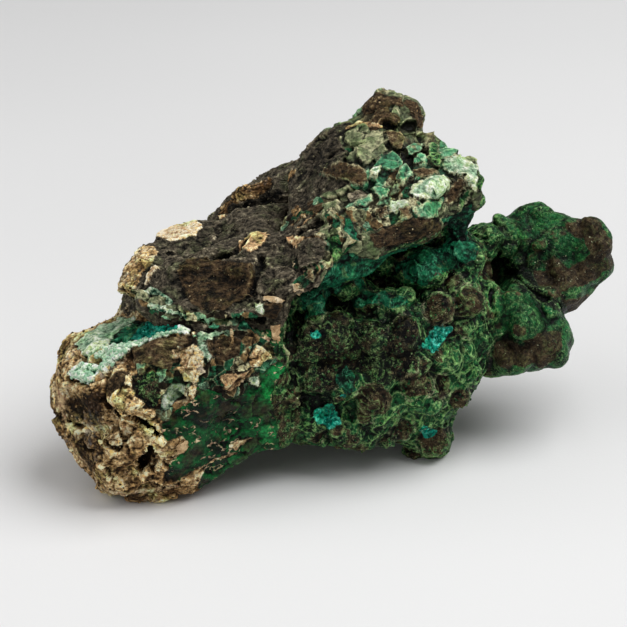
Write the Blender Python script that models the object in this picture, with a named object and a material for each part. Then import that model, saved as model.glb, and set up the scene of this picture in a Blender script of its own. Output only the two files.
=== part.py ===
"""Malachite specimen: a stout block of ochre matrix with a tilted slab lying on it, and a mass of
knobbly malachite that grew out from under the slab into two lobes. It is one stone, so it is one solid.

Sizes are in millimetres and become metres where a mesh is made. +X runs along the stone, +Y runs away
from the side it is shown from, and +Z is up. The origin is under the middle of the stone's box, on the
surface that it rests on.
"""

import math
import random

import bmesh
import bpy
from mathutils import Matrix, Vector, noise

MM = 0.001
NODE = "malachite_specimen"
COLOUR = (0.050, 0.105, 0.052, 1.0)
ROUGHNESS = 0.6

# Fineness of the skin, and how many facets the finished solid has.
FUSE_VOXEL = 0.9
FACETS = 9400
SHARP_ANGLE = 40

# Angular pieces of matrix and rounded masses of malachite: the corners of each, and the radius that
# weathering or growth has given its edges.
MATRIX_BLOCK = {
    "edge": 1.5,
    "corners": [
        (-42, -27, 0), (-36, -27, 0), (-47, -25, 4), (-31, -26, 4), (-52, -21, 9), (-57, -17, 17),
        (-57, -14, 24), (-55, -8, 27), (-51, -22, 26), (-41, -26, 32), (-29, -26, 37), (-46, -30, 12),
        (-35, -31, 14), (-42, -30, 25), (-50, -2, 28), (-44, 4, 28), (-26, 4, 30), (-48, -4, 12),
        (-38, -8, 4), (-28, -10, 6), (-20, -25, 34), (-18, -22, 10),
    ],
}
GREEN_SHOULDER = {
    "edge": 3.0,
    "corners": [
        (-28, -25, 10), (-26, -25, 33), (-13, -20, 36), (-12, -19, 12), (-30, 4, 10), (-10, 8, 10),
        (-28, 6, 34), (-10, 8, 36),
    ],
}
SLAB_FRONT = {
    "edge": 1.0,
    "corners": [
        (-41, -19, 40), (-36, -13, 43), (-27, -24, 41.5), (-13, -24, 43), (-9, -21, 47), (-12, -8, 51),
        (-40, -18, 38), (-27, -24, 38.5), (-12, -22, 39), (-20, 6, 48), (-33, 4, 42), (-6, 2, 44),
    ],
}
SLAB_BOSS = {
    "edge": 1.0,
    "corners": [
        (-34, -9, 46.5), (-17, -12, 49.5), (-15, -16, 48.5), (-16.5, -21, 45), (-20, -24.5, 42.5),
        (-29, -23, 41.5), (-35, -16, 43), (-30, -6, 42), (-18, -8, 42),
    ],
}
SLAB_LEFT = {
    "edge": 1.2,
    "corners": [
        (-44, -9, 40), (-43.5, -6, 42), (-41, 0, 44.5), (-37.5, 7, 46), (-29, 9, 47.5), (-19, 9, 49.5),
        (-10, 10, 51.5), (-32, -12, 42), (-42, -6, 36), (-38, 6, 34), (-26, 16, 40), (-12, 16, 42),
        (-14, 18, 36), (-20, -10, 40),
    ],
}
SLAB_RIM = {
    "edge": 1.4,
    "corners": [
        (-28, 19, 45), (-20, 20, 49.5), (-19, 26, 48), (-10, 25, 53.5), (-8, 19, 55.5), (-3, 20, 58),
        (-25, 19, 39), (-12, 26, 36), (-4, 22, 44), (-22, 16, 38),
    ],
}
SLAB_RIGHT = {
    "edge": 1.5,
    "corners": [
        (-9, 9, 56), (-6, 12, 60), (0, 12, 67), (6, 13, 71), (19, 9, 66), (24, 6, 64), (28, 4, 60),
        (29, 1, 57), (26, -6, 57), (13, -13, 56), (1, -18, 52), (-9, -21, 46), (6, -8, 63), (20, -6, 62),
        (-4, 20, 50), (14, 18, 50), (24, 8, 52), (-1, -16, 49), (13, -8, 51), (22, -3, 52), (27, 1, 52),
    ],
}
CENTRAL_MASS = {
    "edge": 5.0,
    "corners": [
        (-8, -11, 30), (-8, -12, 12), (6, -12, 10), (9, -12, 30), (20, -8, 31), (27, -4, 19),
        (21, -7, 13), (28, 0, 34), (-8, 10, 14), (14, 14, 14), (28, 10, 24), (-8, 2, 34),
        (20, 6, 38), (-6, 14, 42), (20, 14, 44),
    ],
}
UPPER_LOBE = {
    "edge": 4.5,
    "corners": [
        (56, 14, 41), (55.5, 14, 36.5), (50, 12, 30), (44, 22, 41), (38, 17, 40), (42, 13, 32),
        (52, 21, 36), (44, 24, 33),
    ],
}
LOBE_NECK = {"edge": 5.0, "corners": [(42, 20, 38), (31, 12, 41), (24, 14, 30), (40, 22, 32)]}
LOWER_LOBE = {
    "edge": 5.0,
    "corners": [
        (45.5, 4, 25), (42, 4, 19.5), (36, 3, 29), (34, 3, 22), (26, 8, 26), (32, 2, 33), (42, 12, 24),
        (42, 10, 30),
    ],
}
SEAM_UNDER_SLAB = {
    "edge": 2.0,
    "corners": [
        (-46, 1, 27), (-40, 5, 40), (-36, -8, 30), (-35, -9, 39), (-26, -16, 32), (-24, -16, 40),
        (-24, 10, 28), (-24, 12, 42),
    ],
}
BACK_MATRIX = {
    "edge": 2.0,
    "corners": [
        (-32, 9, 32), (-28, 8, 18), (-22, 20, 32), (-14, 24, 13), (-10, 29, 28), (6, 30, 33), (8, 28, 12),
        (22, 20, 40), (20, 18, 14), (-10, 26, 40), (10, 22, 46),
    ],
}
BLOCKS = [
    MATRIX_BLOCK, GREEN_SHOULDER, SLAB_FRONT, SLAB_BOSS, SLAB_LEFT, SLAB_RIM, SLAB_RIGHT, CENTRAL_MASS,
    UPPER_LOBE, LOBE_NECK, LOWER_LOBE, SEAM_UNDER_SLAB, BACK_MATRIX,
]

# Rounded masses: centre and half-sizes.
SLAB_KNOB = [((10, 13, 71.5), (4.2, 4, 4)), ((15, 12, 71), (4.2, 4, 4.2)), ((12, 11, 68), (7, 6, 5))]
SLAB_NOSE = [((25.5, 1, 60.5), (4.2, 5, 4)), ((26, 0, 55), (3.6, 5, 6))]
FOOT_KNOB = [((20, -6, 4.5), (5.2, 5.6, 5.4)), ((15, -3, 10), (7, 6, 6))]
BACK_FOOT = [((12, 25, 6), (9, 8, 7.5)), ((4, 22, 12), (12, 10, 9))]

# Hollows: centre, half-sizes and turn about Y in degrees.
CAVE_UNDER_SLAB = ((14, -9, 43.5), (20, 11, 5.5), -8)
CRUST_POCKET = ((-44, -15, 34), (11, 6, 2.2), -14)
HOLLOW_BEHIND_SLAB = ((-18.5, 14.5, 50), (9, 4, 6), -25)
GAP_BESIDE_LOBE = ((36, 8, 38), (3, 8, 7), 20)
HOLLOWS = [CAVE_UNDER_SLAB, CRUST_POCKET, HOLLOW_BEHIND_SLAB, GAP_BESIDE_LOBE]

# Knobs of malachite: centre and radius.
CAVE_KNOBS = [
    ((2, -8, 42), 4.0), ((5.5, -8, 38.5), 3.0), ((10, -10, 37.5), 3.2), ((9, 0, 43), 4.0),
    ((17.5, -3, 42), 5.2), ((26, -1, 44), 5.4), ((-5, -12, 40), 3.6), ((-3, -16, 36), 3.0),
    ((13.5, -11, 36.5), 3.2), ((20, -10, 35.5), 3.8), ((26, -6, 38), 4.2),
]
FRONT_KNOBS = [
    ((-6, -17, 31), 3.4), ((0, -17, 32), 3.6), ((8, -16, 32), 3.6), ((14, -15, 33), 3.8),
    ((-5, -17, 24), 3.6), ((2, -17, 23), 4.2), ((9.5, -16, 17), 4.8), ((17, -14, 19), 4.4),
    ((22, -11, 26), 4.2), ((25, -9, 19), 4.0), ((-6, -16, 14), 4.2), ((2, -16, 12), 4.0),
    ((9, -16.5, 25), 4.0), ((15.5, -14.5, 26), 4.0), ((30, -2, 25), 4.0), ((31, 0, 32), 4.0),
]
LOBE_KNOBS = [
    ((49, 18, 42.5), 3.6), ((43, 21, 43.5), 4.0), ((37, 14, 43), 3.6), ((55, 14, 43), 3.6),
    ((31, 8, 42), 4.0), ((46, 0, 22), 4.0), ((38, -1, 21), 4.2), ((40, -1, 29), 4.0),
    ((57, 13, 36), 3.8), ((50, 9, 32), 4.0),
]
SCATTERED_KNOBS = {"seed": 7, "count": 90, "radius": (2.2, 3.8), "sunk": 0.25, "lowest": 4}

# Where the matrix gives way to malachite: along X, and up Z as far as the slab reaches along X.
MALACHITE_STARTS = (-13, -7)
SLAB_UNDERSIDE = (47, 51)
SLAB_END = 31

# Relief of the two kinds of surface: spacing and height of each kind of form.
DOMES = {"spacing": 6.2, "height": 1.1, "floor": -0.5, "reach": 0.75}
PLATES = {"spacing": 7.5, "height": 2.4, "ledge": 0.16}
CRAGS = {"size": 8, "height": 0.9}
WARP = {"size": 6, "amount": 1.2}


def clear_scene():
    for obj in list(bpy.data.objects):
        bpy.data.objects.remove(obj)


def add_block(bm, block):
    """A convex block with rounded edges: a small ball at each corner, and the hull of them all."""
    made = bmesh.new()
    for corner in block["corners"]:
        place = Matrix.Translation(Vector(corner) * MM)
        bmesh.ops.create_icosphere(made, subdivisions=2, radius=block["edge"] * MM, matrix=place)
    result = bmesh.ops.convex_hull(made, input=made.verts)
    spare = {g for g in result["geom_interior"] + result["geom_unused"] if isinstance(g, bmesh.types.BMVert)}
    bmesh.ops.delete(made, geom=list(spare), context="VERTS")
    mesh = bpy.data.meshes.new("block")
    made.to_mesh(mesh)
    made.free()
    bm.from_mesh(mesh)
    bpy.data.meshes.remove(mesh)


def add_ball(bm, centre, radii, turn=0):
    place = Matrix.Translation(Vector(centre) * MM) @ Matrix.Rotation(math.radians(turn), 4, "Y")
    shape = Matrix.Diagonal((*(Vector(radii) * MM), 1))
    bmesh.ops.create_icosphere(bm, subdivisions=3, radius=1.0, matrix=place @ shape)


def new_object(name, bm):
    mesh = bpy.data.meshes.new(name)
    bm.to_mesh(mesh)
    bm.free()
    obj = bpy.data.objects.new(name, mesh)
    bpy.context.scene.collection.objects.link(obj)
    return obj


def apply_modifiers(obj):
    graph = bpy.context.evaluated_depsgraph_get()
    result = bpy.data.meshes.new_from_object(obj.evaluated_get(graph))
    obj.modifiers.clear()
    obj.data = result


def rough_stone():
    """All the blocks and rounded masses, overlapping."""
    bm = bmesh.new()
    for block in BLOCKS:
        add_block(bm, block)
    for centre, radii in SLAB_KNOB + SLAB_NOSE + FOOT_KNOB + BACK_FOOT:
        add_ball(bm, centre, radii)
    return new_object(NODE, bm)


def fuse(obj):
    """Joins every overlapping form in the object into one closed skin."""
    step = obj.modifiers.new("fuse", "REMESH")
    step.mode = "VOXEL"
    step.voxel_size = FUSE_VOXEL * MM
    apply_modifiers(obj)


def carve(obj):
    """Cuts the hollows out of the stone."""
    bm = bmesh.new()
    for centre, radii, turn in HOLLOWS:
        add_ball(bm, centre, radii, turn)
    cutter = new_object("hollows", bm)
    step = obj.modifiers.new("carve", "BOOLEAN")
    step.operation = "DIFFERENCE"
    step.object = cutter
    apply_modifiers(obj)
    bpy.data.objects.remove(cutter)


def smooth_step(low, high, value):
    t = min(1.0, max(0.0, (value - low) / (high - low)))
    return t * t * (3 - 2 * t)


def malachite_share(p):
    """0 on the ochre and black matrix, 1 on the knobbly malachite under and beside the slab."""
    below_slab = 1 - smooth_step(*SLAB_UNDERSIDE, p.z) if p.x < SLAB_END else 1.0
    return smooth_step(*MALACHITE_STARTS, p.x) * below_slab


def grow_knobs(obj):
    """Adds the larger knobs where they stand, and small ones all over the malachite."""
    rng = random.Random(SCATTERED_KNOBS["seed"])
    bm = bmesh.new()
    bm.from_mesh(obj.data)
    for centre, radius in CAVE_KNOBS + FRONT_KNOBS + LOBE_KNOBS:
        add_ball(bm, centre, (radius, radius, radius))
    spots = [
        face for face in obj.data.polygons
        if malachite_share(face.center / MM) > 0.9 and face.center.z / MM > SCATTERED_KNOBS["lowest"]
    ]
    for face in rng.sample(spots, SCATTERED_KNOBS["count"]):
        radius = rng.uniform(*SCATTERED_KNOBS["radius"])
        centre = face.center / MM - face.normal * radius * SCATTERED_KNOBS["sunk"]
        add_ball(bm, centre, (radius, radius, radius))
    bm.to_mesh(obj.data)
    bm.free()


def relief(p):
    """How far the surface stands out at a point, in millimetres: domes on the malachite, plates and
    crags on the matrix."""
    warp = noise.noise_vector(p / WARP["size"]) * WARP["amount"]
    nearest, _ = noise.voronoi((p + warp) / DOMES["spacing"])
    dome = 1 - min(1.0, nearest[0] / DOMES["reach"]) ** 2
    knobbly = DOMES["height"] * dome + DOMES["floor"]
    away, cells = noise.voronoi((p + warp) / PLATES["spacing"])
    heights = [noise.noise(cell * PLATES["spacing"]) for cell in cells[:2]]
    own = 0.5 + 0.5 * smooth_step(0, PLATES["ledge"], away[1] - away[0])
    plate = (own * heights[0] + (1 - own) * heights[1]) * PLATES["height"]
    crag = noise.fractal(p / CRAGS["size"], 0.9, 2.1, 3) * CRAGS["height"]
    share = malachite_share(p)
    return share * knobbly + (1 - share) * (plate + crag)


def weather(mesh):
    normals = [v.normal.copy() for v in mesh.vertices]
    for v, normal in zip(mesh.vertices, normals):
        v.co += normal * relief(v.co / MM) * MM


def lighten(obj):
    """Brings the skin down to the facets that the solid needs."""
    step = obj.modifiers.new("lighten", "DECIMATE")
    triangles = sum(len(face.vertices) - 2 for face in obj.data.polygons)
    step.ratio = FACETS / triangles
    step.use_collapse_triangulate = True
    apply_modifiers(obj)


def stand_flat(mesh):
    """Cuts the feet off flat on the surface that the stone rests on."""
    bm = bmesh.new()
    bm.from_mesh(mesh)
    bmesh.ops.bisect_plane(
        bm, geom=bm.verts[:] + bm.edges[:] + bm.faces[:], dist=1e-7,
        plane_co=(0, 0, 0), plane_no=(0, 0, 1), clear_inner=True,
    )
    rim = [e for e in bm.edges if e.is_boundary]
    bmesh.ops.holes_fill(bm, edges=rim, sides=0)
    bmesh.ops.triangulate(bm, faces=bm.faces[:])
    bm.to_mesh(mesh)
    bm.free()


def centre_over_base(mesh):
    """Puts the origin under the middle of the box."""
    xs = [v.co.x for v in mesh.vertices]
    ys = [v.co.y for v in mesh.vertices]
    middle = Vector((min(xs) + max(xs), min(ys) + max(ys), 0)) / 2
    mesh.transform(Matrix.Translation(-middle))


def malachite_material():
    material = bpy.data.materials.new("malachite")
    material.use_nodes = True
    shader = material.node_tree.nodes["Principled BSDF"]
    shader.inputs["Base Color"].default_value = COLOUR
    shader.inputs["Roughness"].default_value = ROUGHNESS
    shader.inputs["Metallic"].default_value = 0.0
    return material


def main():
    clear_scene()
    stone = rough_stone()
    fuse(stone)
    carve(stone)
    grow_knobs(stone)
    fuse(stone)
    weather(stone.data)
    fuse(stone)
    lighten(stone)
    stand_flat(stone.data)
    centre_over_base(stone.data)
    stone.data.shade_smooth()
    stone.data.set_sharp_from_angle(angle=math.radians(SHARP_ANGLE))
    stone.data.materials.clear()
    stone.data.materials.append(malachite_material())


main()
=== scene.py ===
"""Dresses the malachite specimen: a fine skin over the packed solid, its minerals, the beads, crumbs and
chips that grow on it, and a pale stage.

Sizes are in millimetres unless a name says otherwise, and become metres where a mesh is made. Places on
the side that the picture shows are marked by the picture's pixels and brought onto the stone along the
camera's rays.
"""

import math

import bmesh
import bpy
import numpy as np
from mathutils import Matrix, Vector, noise
from mathutils.bvhtree import BVHTree


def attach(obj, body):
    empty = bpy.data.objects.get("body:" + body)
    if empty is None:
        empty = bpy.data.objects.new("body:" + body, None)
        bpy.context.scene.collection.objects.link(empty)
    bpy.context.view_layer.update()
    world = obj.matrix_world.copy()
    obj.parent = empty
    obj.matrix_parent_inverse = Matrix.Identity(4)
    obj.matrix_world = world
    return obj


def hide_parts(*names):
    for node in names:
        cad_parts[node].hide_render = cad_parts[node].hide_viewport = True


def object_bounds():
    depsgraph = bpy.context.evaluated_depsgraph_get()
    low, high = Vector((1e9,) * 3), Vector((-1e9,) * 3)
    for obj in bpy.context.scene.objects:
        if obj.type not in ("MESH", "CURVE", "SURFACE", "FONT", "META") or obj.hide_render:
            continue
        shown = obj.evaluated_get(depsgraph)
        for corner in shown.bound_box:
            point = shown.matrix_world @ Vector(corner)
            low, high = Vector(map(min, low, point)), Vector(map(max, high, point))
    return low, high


bl_info = {
    "name": "Malachite specimen",
    "version": (1, 0, 0),
    "blender": (4, 5, 0),
    "location": "3D View > Sidebar > Specimen",
    "description": "Grows the mineral skin, crusts and chips of a malachite specimen on its solid",
    "category": "Add Mesh",
}

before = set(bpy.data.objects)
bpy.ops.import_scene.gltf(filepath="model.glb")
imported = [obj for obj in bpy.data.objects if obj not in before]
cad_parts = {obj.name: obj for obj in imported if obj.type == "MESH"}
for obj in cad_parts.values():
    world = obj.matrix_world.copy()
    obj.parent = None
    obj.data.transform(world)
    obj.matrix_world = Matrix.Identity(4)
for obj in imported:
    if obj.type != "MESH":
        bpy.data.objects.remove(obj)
CAD_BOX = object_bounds()

# Without a seed, the smooth random shifts would differ in each run.
noise.seed_set(5)

MM = 0.001
NODE = "malachite_specimen"
BODY = "root"

# The picture's camera: millimetres, degrees and pixels.
PICTURE = 627
SENSOR = 36
TARGET = (-5.15, -0.6, 30.6)
CAMERA_DISTANCE = 450
CAMERA_ELEVATION = 25
PIXEL = 0.212
LENS = SENSOR * CAMERA_DISTANCE / (PICTURE * PIXEL)

MINERALS = (
    "ochre", "umber", "oxide", "rubble", "olive", "verdigris", "malachite", "emerald", "teal", "mint",
    "froth", "turquoise", "cream", "peach",
)

# Areas of malachite by how brown they are, and the areas that get a pale rim where they stand this proud.
BROWNNESS = {"brown": 0.8, "mixed": 0.35, "green": -0.3}
RIMMED = ("olive", "verdigris", "mint", "umber", "green")
RIMMED_FROM = 0.35

# Numbers that the skin's points carry for the materials: those painted on, and those that the relief records.
PAINTED = ("core", "shown", "calm", "flat", "rim", "shade")
RECORDED = ("knob", "bed", "cavity", "hollow")

# The plates and the small chips between them, whose cells the relief and the colours share: how far apart
# they are, and the size and amount of the warp that bends them.
PLATE_SPACING = 7.0
CHIP_SPACING = 3.1
LOOSE_WARP = (7, 1.3)
TIGHT_WARP = (2.2, 0.35)

# The knobs' balls: the share of the radius that they are sunk by, and the size and amount of their lumps.
KNOB_SUNK = 0.66
KNOB_LUMP_SIZE = 3.5
KNOB_LUMPS = 1.1

# The lying chips: how deep their root goes, and the cell that wears their edges.
CHIP_ROOT = 1.2
CHIP_CELL = 0.2

# How far the skin may pass the solid's box, as a share of its sides.
BOX_SPARE = 0.012

# The slab's lower edge: places across the stone, and how high it is there.
SLAB_EDGE_X = (-62, -44, -36, -12, -8, 0, 12, 26, 33, 62)
SLAB_EDGE_Z = (30, 33, 37.5, 37.5, 41, 48.5, 53, 53, 62, 72)

# Knobs that the picture shows: pixel of the middle, radius in pixels, and how brown the top is.
KNOBS = [
    (366, 305, 15, 0.3), (337, 326, 15, 0.9), (329, 372, 15, 1.0), (311, 335, 13, 0.9), (405, 330, 16, 0.9),
    (440, 307, 16, 1.0), (470, 302, 15, 1.0), (462, 352, 14, 0.8), (418, 384, 16, 1.0), (442, 384, 12, 1.0),
    (372, 398, 16, 0.8), (392, 364, 11, 0.9), (366, 414, 10, 0.7), (430, 406, 10, 0.7), (402, 430, 12, 0.9),
    (412, 452, 10, 0.6), (434, 440, 17, 0.6), (472, 372, 10, 0.3), (458, 396, 13, 1.0), (352, 352, 10, 0.8),
    (396, 345, 9, 0.6), (424, 366, 8, 0.6), (290, 395, 12, 0.8), (289, 352, 8, 0.6), (345, 286, 15, 0.0),
    (381, 263, 13, 0.0), (377, 301, 10, 0.0), (405, 299, 12, 0.0), (428, 272, 17, 0.0), (464, 252, 14, 0.0),
    (318, 300, 10, 0.1), (454, 284, 9, 0.7), (482, 270, 12, 1.0), (490, 238, 14, 0.0), (476, 255, 9, 0.0),
    (505, 354, 15, 1.0), (541, 346, 22, 0.8), (511, 302, 12, 0.0), (546, 311, 15, 0.2), (498, 328, 9, 0.4),
    (520, 330, 9, 0.6), (523, 358, 9, 1.0), (540, 219, 13, 0.0), (502, 224, 10, 0.1), (570, 226, 9, 0.3),
    (592, 228, 12, 0.9), (604, 246, 10, 0.8), (560, 268, 16, 0.8), (535, 262, 12, 0.3), (585, 272, 14, 0.6),
    (540, 245, 10, 0.4), (340, 430, 9, 0.3), (318, 437, 8, 0.7), (385, 440, 9, 0.4),
]

# Cracks, pits and steps: depth in millimetres, which is less than 0 where they stand out, radius in pixels,
# and pixels of the path.
CARVINGS = [
    (2.2, 3, [(102, 401), (112, 408), (126, 417), (142, 422), (153, 428)]),
    (4.5, 6, [(157, 436)]),
    (3.5, 4, [(151, 450), (145, 460), (140, 470)]),
    (1.6, 3, [(84, 426), (90, 432)]),
    (1.4, 3, [(99, 460)]),
    (2.2, 4, [(84, 357)]),
    (1.8, 3, [(93, 347), (99, 343)]),
    (1.2, 3, [(71, 424)]),
    (1.0, 3, [(85, 447), (96, 452)]),
    (2.0, 5, [(118, 340), (126, 343)]),
    (1.3, 4, [(68, 380), (90, 384), (112, 374)]),
    (2.4, 5, [(208, 262), (222, 256), (236, 250), (246, 243)]),
    (1.6, 4, [(262, 256), (258, 272), (252, 290)]),
    (1.4, 4, [(170, 252), (190, 258), (205, 262)]),
    (1.5, 4, [(298, 232), (310, 226), (322, 222)]),
    (1.6, 4, [(352, 190), (368, 190), (372, 178)]),
    (1.4, 3, [(330, 160), (345, 150), (362, 146)]),
    (1.6, 4, [(383, 122), (400, 128), (414, 124)]),
    (2.0, 4, [(200, 322), (230, 322), (262, 320)]),
    (1.0, 3, [(494, 286), (492, 296), (492, 304), (495, 318)]),
    (1.2, 4, [(506, 268), (518, 278), (532, 289), (546, 299), (560, 309)]),
    (-1.8, 12, [(506, 250), (514, 262)]),
    (-1.6, 12, [(180, 268), (205, 266), (232, 268), (250, 272)]),
    (-1.2, 7, [(242, 245), (258, 238)]),
    (-1.0, 7, [(90, 388), (112, 370), (132, 354), (160, 345), (182, 340)]),
    (-1.3, 6, [(105, 440), (112, 434)]),
    (-1.0, 6, [(118, 398), (136, 404), (150, 412)]),
    (-1.2, 6, [(226, 382), (240, 372), (256, 358)]),
    (-0.9, 8, [(430, 190), (440, 184)]),
    (-0.9, 6, [(404, 170), (400, 178)]),
]

# Strokes of a mineral: the mineral, how light it is there from -1 to 1, radius in pixels, and pixels of the
# path along its middle. Later strokes cover earlier ones. How light a stroke is stands partly for the
# mineral's own tone and partly for painted light and shade, where the stone is lit or lies in shadow.
STROKES = [
    ("umber", 0.1, 13, [(372, 102), (392, 100), (384, 116)]),
    ("umber", 0.0, 9, [(414, 104), (422, 118)]),
    ("oxide", -0.3, 11, [(300, 176), (322, 150), (344, 128)]),
    ("oxide", 0.0, 12, [(300, 198), (315, 186), (345, 176)]),
    ("ochre", -0.1, 14, [(124, 290), (130, 268), (142, 252)]),
    ("ochre", 0.1, 11, [(120, 290), (128, 276), (140, 262)]),
    ("ochre", -0.2, 8, [(220, 210), (238, 196), (262, 184), (290, 174)]),
    ("oxide", -0.6, 6, [(228, 211), (246, 207), (262, 201), (280, 195)]),
    ("rubble", -0.2, 9, [(286, 222), (300, 214), (318, 205)]),
    ("malachite", 0.2, 7, [(292, 330), (290, 352), (284, 385), (292, 410), (290, 440)]),
    ("malachite", 0.4, 6, [(292, 318), (300, 306), (318, 288), (336, 262), (352, 240)]),
    ("malachite", 0.5, 8, [(318, 262), (330, 250), (345, 236)]),
    ("olive", 0.0, 6, [(396, 108), (404, 112), (406, 124), (414, 136), (424, 146)]),
    # The dark strokes on the left of the mass are partly its own dark brown and partly painted shade on the
    # side away from the light.
    ("malachite", -0.7, 24, [(312, 340), (340, 336), (372, 340), (400, 344)]),
    ("malachite", -0.4, 18, [(306, 368), (318, 396), (330, 410)]),
    # The light strokes on the lower and right parts of the mass are partly painted light, where the light
    # falls on it.
    ("malachite", 0.5, 20, [(356, 404), (384, 396), (408, 404), (430, 420)]),
    ("malachite", 0.5, 16, [(452, 366), (468, 352), (478, 334)]),
    ("malachite", 0.4, 12, [(404, 430), (424, 446), (438, 450)]),
    ("malachite", 0.3, 12, [(498, 296), (500, 320), (496, 345)]),
    # Painted light: the lighter teal strokes brighten the lit folds in the hollow under the slab.
    ("teal", 0.3, 20, [(318, 296), (345, 276), (380, 264), (420, 262), (455, 248)]),
    ("teal", 0.4, 9, [(360, 300), (392, 300), (410, 298)]),
    ("teal", 0.6, 6, [(338, 266), (350, 268), (360, 282), (370, 296)]),
    ("teal", 0.5, 6, [(358, 303), (374, 300), (392, 301), (412, 297)]),
    ("teal", 0.3, 7, [(400, 264), (425, 258), (450, 250)]),
    ("teal", 0.6, 5, [(303, 308), (307, 318)]),
    ("teal", 0.1, 8, [(240, 330), (250, 336)]),
    ("teal", 0.4, 5, [(205, 321), (214, 323)]),
    ("mint", 0.3, 4, [(84, 362), (94, 348), (107, 339), (118, 335)]),
    ("rubble", 0.1, 8, [(140, 297), (152, 303), (172, 311), (190, 318), (216, 316), (250, 318)]),
    ("olive", 0.4, 7, [(132, 292), (146, 296), (160, 303), (176, 310)]),
    ("mint", -0.5, 3.5, [(140, 290), (156, 296), (170, 302)]),
    ("mint", -0.1, 3, [(150, 305), (166, 311), (184, 316)]),
    ("rubble", 0.3, 6, [(300, 285), (312, 276), (326, 262), (330, 246), (322, 238)]),
    ("rubble", 0.2, 7, [(332, 214), (344, 224), (350, 238)]),
    ("emerald", -0.3, 8, [(300, 262), (308, 272)]),
    ("turquoise", 0.0, 3.5, [(384, 339)]),
    ("turquoise", -0.1, 4, [(344, 395)]),
    ("turquoise", 0.0, 3, [(392, 440)]),
    ("turquoise", 0.1, 6, [(424, 428), (427, 435)]),
    ("cream", -0.3, 4, [(56, 376), (59, 396), (61, 415), (68, 430), (75, 444), (84, 459), (94, 476)]),
    ("cream", -0.4, 5, [(64, 356), (76, 343), (90, 334), (104, 326)]),
    ("cream", -0.4, 3, [(104, 490), (122, 494), (150, 492), (176, 486)]),
    ("cream", -0.2, 2, [(200, 468), (216, 460), (236, 452)]),
    ("ochre", 0.7, 4, [(100, 386), (114, 378), (124, 368), (136, 360), (146, 356)]),
    ("cream", 0.2, 2, [(94, 380), (104, 376), (114, 370), (124, 362), (134, 352), (146, 346), (166, 339)]),
    ("peach", 0.0, 2, [(286, 239), (296, 239), (304, 238), (312, 236), (322, 240)]),
    ("peach", 0.1, 2.5, [(348, 127), (356, 124), (366, 123), (380, 127)]),
    ("peach", -0.2, 1.8, [(297, 228), (309, 219), (322, 211)]),
    ("peach", -0.2, 2, [(292, 225), (300, 219)]),
    ("olive", 0.6, 1.8, [(350, 212), (356, 226), (362, 240)]),
    ("olive", 0.6, 1.8, [(330, 214), (342, 222), (348, 236), (344, 250)]),
    ("olive", 0.8, 1.6, [(288, 325), (281, 341), (286, 360), (273, 386), (260, 406)]),
]
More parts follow.
